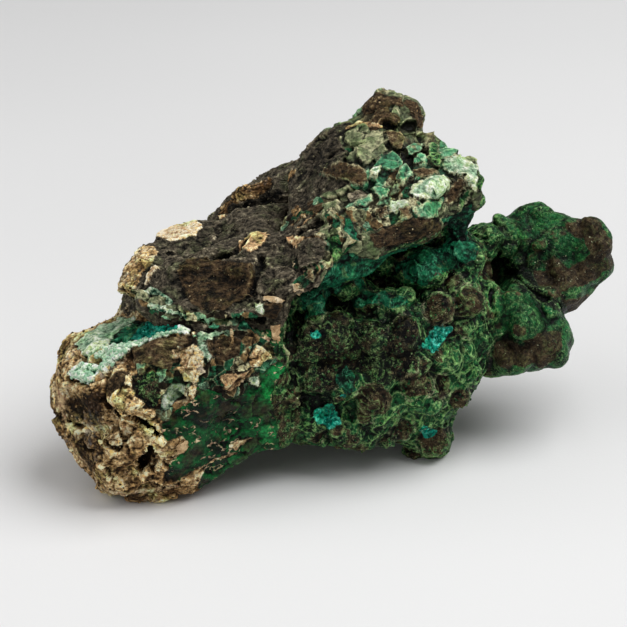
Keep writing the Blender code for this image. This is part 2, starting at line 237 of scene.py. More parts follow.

# Areas that the picture outlines: the mineral, how light it is there, how proud it stands in millimetres,
# and its outline in pixels. "brown", "mixed" and "green" are how brown the malachite is. How light an
# area is stands partly for the mineral's own tone and partly for painted light and shade, where the
# stone is lit or lies in shadow.
AREAS = [
    ("rubble", 0.7, 0.0, [(372, 190), (392, 170), (420, 176), (412, 196), (424, 204), (440, 202),
                          (436, 218), (410, 220), (388, 226), (366, 232), (352, 222), (346, 208),
                          (356, 196)]),
    ("rubble", 0.0, 0.0, [(198, 338), (226, 331), (250, 330), (268, 342), (277, 358), (262, 366),
                          (250, 378), (240, 394), (222, 402), (208, 396), (198, 384), (188, 370)]),
    ("rubble", -0.2, 0.0, [(130, 352), (160, 342), (196, 340), (200, 368), (190, 388), (170, 392),
                           (140, 380)]),
    ("mint", 0.1, 0.3, [(74, 345), (90, 333), (104, 325), (118, 319), (134, 318), (134, 330), (120, 337),
                        (108, 346), (94, 351), (84, 354)]),
    ("mixed", -0.45, 0.0, [(302, 326), (330, 318), (366, 322), (396, 334), (414, 352), (408, 374),
                           (384, 388), (352, 366), (330, 392), (306, 392), (298, 360)]),
    # Painted light on the lit right side of the mass, along with its greener malachite.
    ("green", 0.5, 0.0, [(440, 350), (456, 338), (474, 344), (482, 362), (476, 384), (452, 392),
                         (446, 372)]),
    ("green", 0.4, 0.0, [(398, 408), (420, 400), (450, 402), (458, 416), (440, 426), (412, 424)]),
    ("brown", 0.1, 0.0, [(364, 384), (384, 384), (394, 398), (388, 414), (368, 416), (358, 400)]),
    ("brown", 0.1, 0.0, [(408, 376), (424, 372), (431, 384), (426, 398), (412, 398), (404, 388)]),
    ("brown", 0.3, 0.0, [(454, 297), (466, 293), (476, 304), (470, 316), (456, 314)]),
    ("brown", 0.1, 0.0, [(426, 303), (444, 300), (454, 310), (450, 322), (434, 325), (424, 316)]),
    ("brown", 0.0, 0.0, [(474, 272), (484, 263), (496, 268), (496, 280), (486, 284), (476, 280)]),
    ("oxide", -0.4, 0.7, [(337, 138), (344, 146), (349, 157), (345, 162), (332, 168), (320, 169),
                          (325, 148)]),
    ("umber", -0.1, 0.8, [(321, 172), (342, 162), (360, 167), (369, 180), (361, 186), (345, 182),
                          (329, 177)]),
    ("olive", 0.1, 0.5, [(345, 134), (355, 131), (364, 135), (364, 144), (356, 148), (348, 144)]),
    ("olive", 0.3, 0.8, [(366, 136), (376, 133), (383, 139), (389, 150), (379, 159), (366, 168),
                         (355, 157), (355, 151), (365, 146)]),
    ("umber", 0.5, 0.9, [(383, 132), (399, 131), (403, 142), (401, 151), (392, 148), (388, 140)]),
    ("verdigris", 0.1, 0.5, [(382, 155), (392, 149), (402, 161), (403, 168), (394, 172), (382, 170),
                             (371, 168)]),
    ("mint", -0.1, 0.9, [(371, 169), (379, 167), (382, 173), (376, 178), (370, 175)]),
    ("verdigris", 0.4, 1.2, [(398, 173), (406, 168), (413, 173), (411, 181), (402, 188), (397, 181)]),
    ("verdigris", 0.2, 0.8, [(412, 156), (422, 153), (429, 159), (425, 166), (413, 166)]),
    ("green", 0.1, 0.8, [(428, 146), (438, 145), (442, 159), (438, 169), (428, 163)]),
    ("umber", 0.4, 0.5, [(413, 169), (433, 168), (438, 174), (421, 180), (415, 177)]),
    ("verdigris", 0.0, 0.4, [(404, 146), (414, 142), (426, 146), (420, 152), (408, 156)]),
    ("verdigris", 0.3, 0.7, [(436, 152), (446, 148), (458, 152), (456, 158), (442, 160)]),
    ("mint", 0.0, 0.9, [(413, 184), (428, 181), (443, 177), (447, 182), (439, 195), (428, 202),
                        (415, 198), (411, 192)]),
    ("mint", 0.2, 0.5, [(444, 159), (461, 156), (479, 168), (477, 189), (471, 186), (464, 175),
                        (450, 175), (443, 169)]),
    ("green", -0.2, 0.3, [(478, 170), (484, 178), (482, 190), (477, 189)]),
    ("umber", 0.0, 0.6, [(444, 195), (458, 177), (466, 182), (457, 198), (447, 208)]),
    ("green", 0.4, 0.5, [(456, 204), (466, 188), (472, 190), (466, 204), (458, 214)]),
    ("oxide", 0.5, 0.6, [(346, 195), (360, 188), (371, 192), (361, 199), (351, 201)]),
    ("verdigris", 0.5, 0.5, [(356, 201), (371, 194), (374, 201), (364, 208), (356, 205)]),
    ("verdigris", -0.1, 0.6, [(371, 186), (389, 187), (388, 197), (379, 200), (374, 192)]),
    ("umber", -0.2, 0.9, [(376, 208), (387, 205), (388, 215), (378, 220)]),
    ("mint", 0.6, 0.5, [(389, 201), (408, 202), (410, 209), (397, 213), (388, 209)]),
    ("verdigris", 0.1, 0.6, [(413, 208), (426, 202), (440, 200), (436, 216), (420, 222)]),
    ("umber", 0.3, 0.9, [(399, 209), (410, 208), (411, 218), (401, 219)]),
    ("umber", -0.3, 0.3, [(389, 227), (410, 219), (438, 218), (441, 230), (412, 242), (374, 248),
                          (368, 236)]),
    ("teal", -0.4, 0.3, [(440, 218), (456, 214), (470, 203), (476, 220), (472, 233), (456, 238),
                         (450, 227)]),
    ("teal", -0.2, 0.2, [(345, 218), (352, 224), (358, 240), (352, 238), (346, 228)]),
    ("oxide", -0.2, 0.6, [(300, 240), (316, 238), (326, 242), (325, 256), (311, 268), (300, 270)]),
    ("umber", 0.4, 0.7, [(307, 269), (315, 270), (311, 282), (305, 278)]),
    ("umber", -0.3, 0.3, [(175, 273), (188, 264), (205, 258), (219, 261), (230, 266), (251, 267),
                          (256, 273), (257, 285), (253, 293), (242, 300), (225, 309), (210, 311),
                          (196, 308), (184, 293)]),
    ("umber", -0.4, 0.2, [(260, 305), (274, 303), (285, 307), (274, 319), (262, 317)]),
    ("mint", 0.0, 0.4, [(254, 302), (264, 304), (262, 314), (256, 312)]),
    ("cream", 0.4, 0.2, [(151, 234), (159, 228), (182, 223), (196, 221), (205, 224), (200, 230),
                         (196, 235), (188, 237), (179, 241), (169, 241), (157, 237)]),
    ("cream", 0.5, 0.6, [(150, 270), (157, 265), (162, 269), (156, 275), (150, 281), (144, 284)]),
    ("peach", -0.1, 0.4, [(238, 248), (244, 240), (256, 236), (266, 232), (271, 236), (265, 243),
                          (259, 247), (251, 252), (242, 249)]),
    ("peach", 0.1, 0.5, [(219, 214), (227, 212), (228, 217), (222, 219)]),
    ("peach", 0.2, 0.5, [(285, 239), (294, 238), (304, 237), (305, 240), (299, 248), (295, 247)]),
    ("froth", 0.7, 0.6, [(94, 355), (104, 351), (117, 346), (132, 342), (146, 338), (165, 333),
                         (181, 326), (189, 331), (188, 336), (177, 334), (165, 339), (146, 345),
                         (139, 350), (127, 357), (112, 372), (104, 376), (101, 369), (107, 361),
                         (102, 358)]),
    ("froth", 0.0, 0.5, [(68, 376), (75, 368), (83, 364), (90, 362), (98, 366), (102, 371), (101, 377),
                         (96, 381), (85, 383), (77, 381)]),
    ("teal", 0.2, 0.0, [(110, 345), (115, 334), (124, 327), (138, 321), (146, 322), (140, 334),
                        (132, 343), (122, 347)]),
    ("turquoise", -0.1, 0.0, [(131, 340), (136, 330), (144, 323), (156, 325), (170, 326), (179, 328),
                              (172, 332), (158, 335), (148, 338), (138, 342)]),
    ("ochre", -0.7, 0.2, [(74, 396), (90, 388), (102, 396), (107, 410), (104, 425), (88, 427), (69, 423),
                          (64, 410)]),
    ("umber", 0.0, 0.0, [(104, 381), (121, 371), (131, 373), (127, 384), (113, 400), (104, 392)]),
    ("umber", 0.2, 0.3, [(134, 351), (152, 345), (188, 336), (197, 347), (180, 363), (165, 369),
                         (146, 364), (134, 363)]),
    ("cream", -0.5, 0.5, [(172, 350), (180, 347), (189, 350), (187, 358), (178, 361), (172, 357)]),
    ("ochre", 0.5, 0.3, [(174, 369), (199, 371), (199, 381), (184, 380)]),
    ("ochre", -0.6, 0.0, [(75, 432), (96, 432), (108, 446), (106, 462), (92, 470), (80, 452)]),
    ("ochre", 0.2, 0.7, [(112, 432), (120, 430), (124, 440), (120, 449), (111, 446)]),
    ("mixed", -0.3, 0.0, [(134, 377), (155, 371), (169, 379), (163, 394), (155, 407), (142, 404),
                          (135, 399)]),
    ("rubble", 0.3, 0.0, [(160, 372), (178, 376), (187, 389), (184, 400), (172, 402), (160, 394)]),
    ("mint", 0.8, 0.0, [(172, 383), (187, 386), (184, 394), (176, 399), (170, 410), (160, 412),
                        (162, 400)]),
    ("verdigris", 0.0, 0.2, [(156, 408), (166, 411), (174, 406), (172, 418), (162, 422), (155, 416)]),
    ("ochre", 0.1, 0.7, [(113, 402), (121, 392), (128, 386), (134, 393), (136, 402), (155, 410),
                         (153, 417), (144, 421), (131, 413)]),
    ("emerald", -0.1, 0.2, [(160, 425), (184, 405), (206, 388), (222, 392), (228, 408), (214, 430),
                            (222, 450), (204, 464), (184, 474), (164, 480), (172, 458), (190, 446),
                            (184, 434), (166, 440)]),
    ("umber", 0.1, 0.0, [(206, 342), (226, 336), (240, 342), (240, 356), (226, 359), (208, 356)]),
    ("ochre", 0.2, 0.5, [(180, 349), (194, 344), (203, 352), (205, 372), (196, 380), (182, 370)]),
    ("mint", -0.1, 0.3, [(197, 335), (212, 331), (226, 330), (212, 338), (203, 342), (212, 358),
                         (208, 362), (202, 353)]),
    ("ochre", 0.2, 0.7, [(247, 356), (257, 345), (274, 356), (272, 360), (262, 362), (249, 363)]),
    ("peach", -0.5, 0.3, [(220, 377), (247, 368), (254, 362), (254, 372), (247, 377), (237, 387),
                          (226, 392), (220, 387)]),
    ("mint", 0.2, 0.5, [(246, 377), (259, 374), (260, 386), (257, 388), (249, 384)]),
    ("verdigris", 0.1, 0.2, [(256, 364), (273, 356), (276, 360), (262, 373), (256, 372)]),
    # Painted light on the lit right part of the glassy green shoulder.
    ("emerald", 0.6, 0.1, [(260, 374), (276, 363), (285, 364), (283, 374), (274, 387), (266, 402),
                           (260, 410), (257, 402), (263, 391)]),
    ("emerald", 0.4, 0.0, [(259, 426), (272, 424), (276, 434), (266, 440), (258, 436)]),
    ("mixed", 0.2, 0.0, [(278, 376), (290, 372), (303, 378), (300, 400), (300, 430), (296, 446),
                         (280, 448), (274, 420), (272, 396)]),
    ("cream", -0.3, 0.3, [(229, 445), (240, 439), (251, 438), (244, 443), (234, 449)]),
    ("turquoise", 0.5, 0.4, [(420, 347), (429, 332), (442, 322), (451, 329), (444, 341), (429, 352)]),
    ("turquoise", 0.1, 0.4, [(313, 411), (322, 406), (332, 403), (338, 414), (342, 424), (333, 429),
                             (324, 424), (312, 417)]),
    ("turquoise", 0.1, 0.3, [(308, 335), (317, 330), (322, 336), (313, 341)]),
    ("teal", -0.3, 0.2, [(335, 375), (346, 365), (355, 375), (354, 391), (346, 393), (336, 383)]),
    ("green", 0.6, 0.0, [(526, 224), (534, 214), (542, 210), (560, 215), (566, 226), (550, 230),
                         (534, 230)]),
    ("brown", 0.1, 0.0, [(566, 224), (583, 216), (595, 217), (608, 233), (618, 248), (617, 262),
                         (610, 271), (595, 271), (583, 263), (590, 251), (576, 238)]),
    ("green", 0.1, 0.0, [(562, 239), (584, 239), (583, 262), (568, 267), (556, 255)]),
    ("brown", -0.1, 0.0, [(532, 272), (561, 273), (583, 266), (600, 272), (596, 282), (568, 291),
                          (562, 299), (546, 297), (530, 286)]),
    ("green", 0.4, 0.0, [(562, 292), (580, 287), (598, 279), (591, 292), (570, 300)]),
    ("brown", 0.0, 0.0, [(561, 299), (588, 293), (580, 306), (568, 313)]),
    # Painted shade: the dark recess between the mass and the upper lobe, and the crease under the upper lobe.
    ("green", -0.6, 0.0, [(500, 250), (512, 240), (522, 248), (524, 268), (536, 284), (552, 297),
                          (564, 310), (552, 308), (532, 296), (514, 284), (502, 272)]),
    ("green", 0.2, 0.0, [(496, 292), (520, 296), (552, 308), (566, 318), (556, 330), (536, 336),
                         (524, 326), (500, 318)]),
    ("brown", -0.1, 0.0, [(536, 333), (554, 328), (562, 333), (560, 350), (547, 365), (536, 365),
                          (535, 347)]),
    # Painted highlight: the lit right rim of the lower lobe.
    ("green", 0.8, 0.0, [(563, 318), (571, 328), (570, 340), (563, 347), (562, 332)]),
    ("brown", 0.0, 0.0, [(501, 347), (517, 344), (532, 350), (532, 362), (525, 367), (503, 358)]),
]

# Chips that lie on the stone: the finish, how proud they stand in millimetres, and their outline in pixels.
CHIPS = [
    ("cream", 0.7, [(256, 298), (263, 295), (276, 297), (288, 301), (291, 305), (274, 302), (263, 300)]),
    ("cream", 0.8, [(290, 285), (296, 283), (304, 284), (305, 290), (299, 295), (294, 292)]),
    ("peach", 0.35, [(271, 325), (281, 323), (281, 334), (279, 345), (272, 347), (271, 337)]),
    ("peach", 0.7, [(176, 445), (188, 439), (189, 446), (184, 454), (176, 455)]),
    ("cream", 0.7, [(240, 379), (243, 379), (243, 382), (240, 382)]),
    ("ochre", 0.9, [(292, 211), (298, 205), (303, 210), (298, 216), (292, 215)]),
    ("ochre", 0.7, [(302, 214), (306, 213), (307, 218), (303, 219)]),
    ("ochre", 0.7, [(230, 327), (233, 327), (234, 344), (231, 345)]),
    ("umber", 0.8, [(306, 201), (321, 200), (325, 209), (315, 212), (308, 211)]),
]

# Colours as they look on a screen, and what each is. Each mineral's dark colour goes where its
# tone is low, as in its hollows, and its light colour where its tone is high, as on its raised
# places: besides the mineral's own lighter and darker parts, these paint shade into the hollows
# and highlights onto the raised places.
COLOURS = {
    "ochre_light": ("f2dcae", "Dry ochre on high grains"),
    "ochre_mid": ("b59363", "Ochre"),
    "ochre_dark": ("2a1f13", "Ochre in hollows"),
    "umber_light": ("94835f", "Tan lines on the brown crust"),
    "umber_mid": ("54422d", "Brown crust"),
    "umber_dark": ("15100a", "Brown crust in hollows"),
    # oxide_light is partly dust and partly a painted highlight on the crust's raised places.
    "oxide_light": ("a29880", "Dust on the iron crust"),
    "oxide_mid": ("5b5345", "Iron crust"),
    "oxide_dark": ("0f0e0a", "Iron crust in hollows"),
    "rubble_light": ("ccc59a", "Pale bits in the broken ground"),
    "rubble_mid": ("77603f", "Tan bits in the broken ground"),
    "rubble_dark": ("231c12", "Dark bits in the broken ground"),
    "rubble_mint": ("7fa986", "Mint bits in the broken ground"),
    "rubble_green": ("20573a", "Green bits in the broken ground"),
    "olive_light": ("b4b18c", "Rims of the olive plates"),
    "olive_mid": ("626b4c", "Olive plates"),
    "olive_dark": ("26271a", "Olive plates in hollows"),
    "verdigris_light": ("aecda6", "Rims of the blue-green plates"),
    "verdigris_mid": ("43855f", "Blue-green plates"),
    "verdigris_dark": ("123324", "Blue-green plates in hollows"),
    "malachite_light": ("90b672", "Pale veins in the malachite"),
    "malachite_mid": ("17552c", "Malachite"),
    "malachite_dark": ("020d06", "Malachite in hollows"),
    "emerald_light": ("cdb290", "Pale threads on the glassy green"),
    "emerald_mid": ("0d5326", "Glassy green"),
    # emerald_bright is partly painted light: it brightens the glassy green where it is raised and marked
    # lighter, along with its own lighter patches.
    "emerald_bright": ("229049", "Glassy green where light comes through"),
    "emerald_dark": ("021508", "Deep glassy green"),
    "teal_light": ("52a07a", "Satin blue-green on high places"),
    "teal_mid": ("125e3f", "Satin blue-green"),
    "teal_dark": ("021510", "Satin blue-green in hollows"),
    "mint_light": ("cfd8bd", "Pale green plates on high places"),
    "mint_mid": ("92b090", "Pale green plates"),
    "mint_dark": ("245540", "Pale green plates in hollows"),
    "froth_light": ("e6f3de", "Mint froth on high places"),
    "froth_mid": ("a3cfab", "Mint froth"),
    "froth_dark": ("1f5c46", "Mint froth in hollows"),
    "turquoise_light": ("55cbb2", "Glints of the turquoise crystals"),
    "turquoise_mid": ("0c8a74", "Turquoise crystals"),
    "turquoise_dark": ("03443e", "Turquoise crystals in hollows"),
    "cream_light": ("ead8b6", "Cream rind on high places"),
    "cream_mid": ("c4a67c", "Cream rind"),
    "cream_dark": ("523e25", "Cream rind in hollows"),
    "peach_light": ("e9cb9c", "Peach chips on high places"),
    "peach_mid": ("bb986e", "Peach chips"),
    "peach_dark": ("4f3620", "Peach chips in hollows"),
    "core_light": ("7d7253", "Pale lines on the brown knobs"),
    "core_mid": ("3a2c1d", "Brown tops of the knobs"),
}


def screen_colour(code):
    """The light of a colour that is written as it looks on a screen."""
    parts = [int(code[i:i + 2], 16) / 255 for i in (0, 2, 4)]
    return [c / 12.92 if c <= 0.04045 else ((c + 0.055) / 1.055) ** 2.4 for c in parts]


# What a user would change


def size_property(name, description, default):
    return bpy.props.FloatProperty(
        name=name, description=description, default=default * MM, min=0, unit="LENGTH", precision=5,
    )


def colour_property(name, code, description):
    return bpy.props.FloatVectorProperty(
        name=name.replace("_", " ").capitalize(), description=description, default=screen_colour(code),
        size=3, min=0, max=1, subtype="COLOR",
    )


class SpecimenColours(bpy.types.PropertyGroup):
    """The colours of the minerals"""

    __annotations__ = {name: colour_property(name, *row) for name, row in COLOURS.items()}


class SpecimenSkin(bpy.types.PropertyGroup):
    """How fine the skin is and how high its forms stand"""

    cell: size_property("Cell", "Size of the skin's faces", 0.3)
    knob_spacing: size_property("Knob Spacing", "Distance between the malachite knobs", 6.0)
    knob_height: size_property("Knob Height", "How far the malachite knobs stand out", 0.75)
    plate_spacing: size_property("Plate Spacing", "Distance between the plates", PLATE_SPACING)
    plate_height: size_property("Plate Height", "Height of the steps between plates", 1.0)
    grain_height: size_property("Grain Height", "Height of the fine grain", 0.22)


class SpecimenGrains(bpy.types.PropertyGroup):
    """The beads, crumbs and crystals that sit on the skin"""

    bead_size: size_property("Bead Size", "Diameter of the largest mint bead", 1.1)
    crumb_size: size_property("Crumb Size", "Size of the largest crumb", 0.7)
    crystal_size: size_property("Crystal Size", "Size of the largest turquoise crystal", 1.0)
    seed: bpy.props.IntProperty(name="Seed", description="Start of the random places", default=11, min=0)


class SpecimenStage(bpy.types.PropertyGroup):
    """The floor and the lights"""

    floor_radius: size_property("Floor Radius", "Radius of the floor", 1600)
    key_power: bpy.props.FloatProperty(
        name="Key Light", description="Power of the large soft light", default=8.6, min=0, unit="POWER",
    )
    fill_power: bpy.props.FloatProperty(
        name="Fill Light", description="Power of the light from the left", default=1.4, min=0, unit="POWER",
    )
    sky: bpy.props.FloatProperty(name="Sky", description="Light from all around", default=0.2, min=0)


# Ways to add nodes


class Graph:
    """Short calls that add nodes to a tree. An input takes a value or the output of another node."""

    def __init__(self, tree):
        self.tree = tree

    def feed(self, socket, value):
        if isinstance(value, bpy.types.NodeSocket):
            self.tree.links.new(value, socket)
        else:
            socket.default_value = value

    def add(self, kind, inputs=None, **settings):
        node = self.tree.nodes.new(kind)
        for name, value in settings.items():
            setattr(node, name, value)
        for key, value in (inputs or {}).items():
            self.feed(node.inputs[key], value)
        return node

    def math(self, operation, *values, clamp=False):
        inputs = dict(enumerate(values))
        return self.add("ShaderNodeMath", inputs, operation=operation, use_clamp=clamp).outputs[0]

    def vector(self, operation, a, b=None):
        node = self.add("ShaderNodeVectorMath", {0: a}, operation=operation)
        if b is not None:
            self.feed(node.inputs["Scale" if operation == "SCALE" else 1], b)
        return node.outputs["Value" if operation in ("DOT_PRODUCT", "LENGTH") else "Vector"]

    def part(self, vector, index):
        return self.add("ShaderNodeSeparateXYZ", {0: vector}).outputs[index]

    def chain(self, operation, *values):
        result = values[0]
        for value in values[1:]:
            result = self.math(operation, result, value)
        return result

    def total(self, *values):
        return self.chain("ADD", *values)

    def times(self, *values):
        return self.chain("MULTIPLY", *values)

    def highest(self, *values):
        return self.chain("MAXIMUM", *values)

    def weigh(self, *terms):
        """The sum of the terms, where each term is a row of values to multiply."""
        return self.total(*(self.times(*term) for term in terms))

    def rest(self, value):
        """What is left of 1."""
        return self.math("SUBTRACT", 1.0, value)

    def centred(self, value):
        """A noise or a random share, moved from about 0.5 to about 0."""
        return self.math("SUBTRACT", value, 0.5)

    def centred_vector(self, value):
        return self.vector("SUBTRACT", value, (0.5, 0.5, 0.5))

    def mix(self, factor, a, b, blend="MIX"):
        inputs = {0: factor, 6: a, 7: b}
        return self.add("ShaderNodeMix", inputs, data_type="RGBA", blend_type=blend).outputs[2]

    def blend(self, factor, a, b):
        return self.add("ShaderNodeMix", {0: factor, 2: a, 3: b}, data_type="FLOAT").outputs[0]

    def remap(self, value, low, high, to_low=0.0, to_high=1.0):
        inputs = {"Value": value, "From Min": low, "From Max": high, "To Min": to_low, "To Max": to_high}
        return self.add("ShaderNodeMapRange", inputs, interpolation_type="SMOOTHSTEP").outputs[0]

    def fade(self, value, low, high):
        """1 at the low value, falling to 0 at the high one."""
        return self.remap(value, low, high, 1.0, 0.0)

    def noise(self, place, size, detail=3.0, roughness=0.5, **settings):
        """Noise whose features are about size millimetres across."""
        inputs = {"Vector": place, "Scale": 1 / (size * MM), "Detail": detail, "Roughness": roughness}
        return self.add("ShaderNodeTexNoise", inputs, **settings)

    def cells(self, place, size, feature="F1", randomness=1.0):
        """Cells that are about size millimetres across."""
        inputs = {"Vector": place, "Scale": 1 / (size * MM), "Randomness": randomness}
        return self.add("ShaderNodeTexVoronoi", inputs, feature=feature)

    def warped(self, place, size, amount):
        """The place, shifted about by up to amount millimetres."""
        shift = self.centred_vector(self.noise(place, size, 2).outputs["Color"])
        return self.vector("ADD", place, self.vector("SCALE", shift, 2.0 * amount * MM))

    def dome(self, distance, reach):
        """1 over the middle of a cell, falling like a ball to 0 at its reach."""
        share = self.math("POWER", self.math("DIVIDE", distance, reach), 2.0)
        return self.math("SQRT", self.math("SUBTRACT", 1.0, share, clamp=True))

    def line(self, value, width):
        """1 where the value is close to 0, falling to 0 at the width."""
        return self.fade(self.math("ABSOLUTE", value), 0.4 * width, width)

    def contours(self, place, size, levels, width):
        """Thin closed loops, as on a map of hills, more of them for more levels."""
        hills = self.noise(place, size, 2).outputs["Fac"]
        step = self.math("FRACT", self.times(hills, levels))
        return self.line(self.centred(step), width)

    def streaks(self, place, warp, stretch, size, detail=3):
        """Noise that is drawn out one way, and bent by a warp of this size and amount."""
        drawn = self.vector("MULTIPLY", self.warped(place, *warp), stretch)
        return self.noise(drawn, size, detail).outputs["Fac"]

    def named(self, name, kind="FLOAT"):
        return self.add("GeometryNodeInputNamedAttribute", {"Name": name}, data_type=kind).outputs[0]

    def store(self, geometry, name, value, kind="FLOAT"):
        inputs = {"Geometry": geometry, "Name": name, "Value": value}
        settings = {"data_type": kind, "domain": "POINT"}
        return self.add("GeometryNodeStoreNamedAttribute", inputs, **settings).outputs[0]


# Places on the stone


def camera_axes():
    turn = math.radians(CAMERA_ELEVATION)
    ahead = Vector((0, math.cos(turn), -math.sin(turn)))
    up = Vector((0, math.sin(turn), math.cos(turn)))
    return ahead, up, Vector(TARGET) - ahead * CAMERA_DISTANCE


def welded_solid():
    bm = bmesh.new()
    bm.from_mesh(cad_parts[NODE].data)
    bmesh.ops.remove_doubles(bm, verts=bm.verts, dist=1e-6)
    return bm


def picture_place(tree, u, v):
    """Where the picture's pixel lies on the stone, in millimetres, and the ray that reaches it."""
    ahead, up, eye = camera_axes()
    across = Vector((1, 0, 0)) * (u - PICTURE / 2) * PIXEL
    ray = (ahead * CAMERA_DISTANCE + across + up * (PICTURE / 2 - v) * PIXEL).normalized()
    place = tree.ray_cast(eye * MM, ray)[0]
    if place is None:
        raise ValueError(f"the pixel {u}, {v} misses the stone")
    return place / MM, ray


def picture_path(tree, pixels):
    return [np.array(picture_place(tree, u, v)[0]) for u, v in pixels]


def picture_pixels(points):
    """The picture's pixel of each point."""
    ahead, up, eye = (np.array(axis) for axis in camera_axes())
    from_eye = points - eye
    enlarged = CAMERA_DISTANCE / PIXEL / (from_eye @ ahead)
    return PICTURE / 2 + from_eye[:, 0] * enlarged, PICTURE / 2 - (from_eye @ up) * enlarged


def depth_inside(u, v, outline):
    """How many pixels each place lies inside an outline, or less than 0 outside it."""
    nearest = np.full(len(u), np.inf)
    inside = np.zeros(len(u), bool)
    for (u0, v0), (u1, v1) in zip(outline, outline[1:] + outline[:1]):
        run_u = u1 - u0
        run_v = v1 - v0
        along = np.clip(((u - u0) * run_u + (v - v0) * run_v) / (run_u ** 2 + run_v ** 2), 0, 1)
        nearest = np.minimum(nearest, np.hypot(u - u0 - along * run_u, v - v0 - along * run_v))
        inside ^= ((v0 > v) != (v1 > v)) & (u < u0 + (v - v0) * run_u / (run_v or 1))
    return np.where(inside, nearest, -nearest)


def path_distance(points, path):
    """How far each point is from a path of straight runs."""
    nearest = np.full(len(points), np.inf)
    for start, end in zip(path, path[1:] or path):
        run = end - start
        along = np.clip((points - start) @ run / max(run @ run, 1e-6), 0, 1)
        nearest = np.minimum(nearest, np.linalg.norm(points - start - along[:, None] * run, axis=1))
    return nearest


def smooth_step(low, high, values):
    t = np.clip((values - low) / (high - low), 0, 1)
    return t * t * (3 - 2 * t)


def mesh_points(mesh):
    flat = np.empty(len(mesh.vertices) * 3, dtype=np.float32)
    mesh.vertices.foreach_get("co", flat)
    return flat.reshape(-1, 3).astype(float) / MM


def mesh_normals(mesh):
    flat = np.empty(len(mesh.vertices) * 3, dtype=np.float32)
    mesh.vertex_normals.foreach_get("vector", flat)
    return flat.reshape(-1, 3).astype(float)


def move_points(mesh, points):
    mesh.vertices.foreach_set("co", (points * MM).astype(np.float32).ravel())
    mesh.update()


def keep_number(mesh, name, values):
    attribute = mesh.attributes.new(name, "FLOAT", "POINT")
    attribute.data.foreach_set("value", values.astype(np.float32))


def wobble(points, size, amount, seed):
    """A smooth random shift for each point."""
    shift = Vector((seed * 17.3, seed * 5.1, seed * 9.7))
    return np.array([noise.noise_vector(Vector(p) / size + shift) for p in points]) * amount


# Meshes


def new_object(name, data):
    obj = bpy.data.objects.new(name, data)
    bpy.context.scene.collection.objects.link(obj)
    return obj


def mesh_from(bm, name):
    mesh = bpy.data.meshes.new(name)
    bm.to_mesh(mesh)
    bm.free()
    return mesh


def apply_modifiers(obj):
    graph = bpy.context.evaluated_depsgraph_get()
    result = bpy.data.meshes.new_from_object(obj.evaluated_get(graph))
    obj.modifiers.clear()
    old = obj.data
    obj.data = result
    bpy.data.meshes.remove(old)


def grow(obj, tree, values):
    """Runs the geometry nodes on the object with these values, and keeps the result as its mesh."""
    step = obj.modifiers.new(tree.name, "NODES")
    step.node_group = tree
    for item in tree.interface.items_tree:
        if item.item_type == "SOCKET" and item.in_out == "INPUT" and item.name in values:
            step[item.identifier] = values[item.name]
    apply_modifiers(obj)


def finish_piece(obj, name):
    """Names the piece, shades it smooth, and puts it in the packed model's place."""
    obj.name = name
    obj.data.name = name
    obj.data.shade_smooth()
    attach(obj, BODY)
    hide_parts(NODE)
    print(name, sum(len(p.vertices) - 2 for p in obj.data.polygons), "triangles")


def new_tree(name, kind, inputs, outputs):
    tree = bpy.data.node_groups.new(name, kind)
    for label, socket_type, default in inputs:
        socket = tree.interface.new_socket(label, in_out="INPUT", socket_type=socket_type)
        if default is not None:
            socket.default_value = default
    for label, socket_type in outputs:
        tree.interface.new_socket(label, in_out="OUTPUT", socket_type=socket_type)
    return tree


def end_tree(g, geometry, material):
    """Ends geometry nodes with plain, dressed geometry."""
    result = g.add("GeometryNodeRealizeInstances", {"Geometry": geometry}).outputs[0]
    result = g.add("GeometryNodeSetMaterial", {"Geometry": result, "Material": material}).outputs[0]
    g.feed(g.add("NodeGroupOutput").inputs[0], result)


# The skin's shape


def add_knobs(bm, tree):
    """Sets a ball into the stone wherever the picture shows a knob."""
    for u, v, radius, _ in KNOBS:
        place, ray = picture_place(tree, u, v)
        size = radius * PIXEL
        matrix = Matrix.Translation((place + ray * size * KNOB_SUNK) * MM)
        ball = bmesh.ops.create_icosphere(bm, subdivisions=3, radius=size * MM, matrix=matrix)
        for vert in ball["verts"]:
            vert.co += noise.noise_vector(vert.co / (KNOB_LUMP_SIZE * MM)) * KNOB_LUMPS * MM


def remesh(obj, cell):
    step = obj.modifiers.new("skin", "REMESH")
    step.mode = "VOXEL"
    step.voxel_size = cell
    soft = obj.modifiers.new("soften", "SMOOTH")
    soft.factor = 0.5
    soft.iterations = 10
    apply_modifiers(obj)


def carved_depth(points, tree):
    """How deep the cracks and pits go, and less than 0 where a ridge or a lump stands out."""
    ragged = points + wobble(points, 2.5, 0.7, 1)
    depth = np.zeros(len(points))
    for amount, radius, pixels in CARVINGS:
        away = path_distance(ragged, picture_path(tree, pixels))
        reach = radius * PIXEL
        depth += amount * (1 - smooth_step(0.3 * reach, 1.3 * reach, away))
    return depth


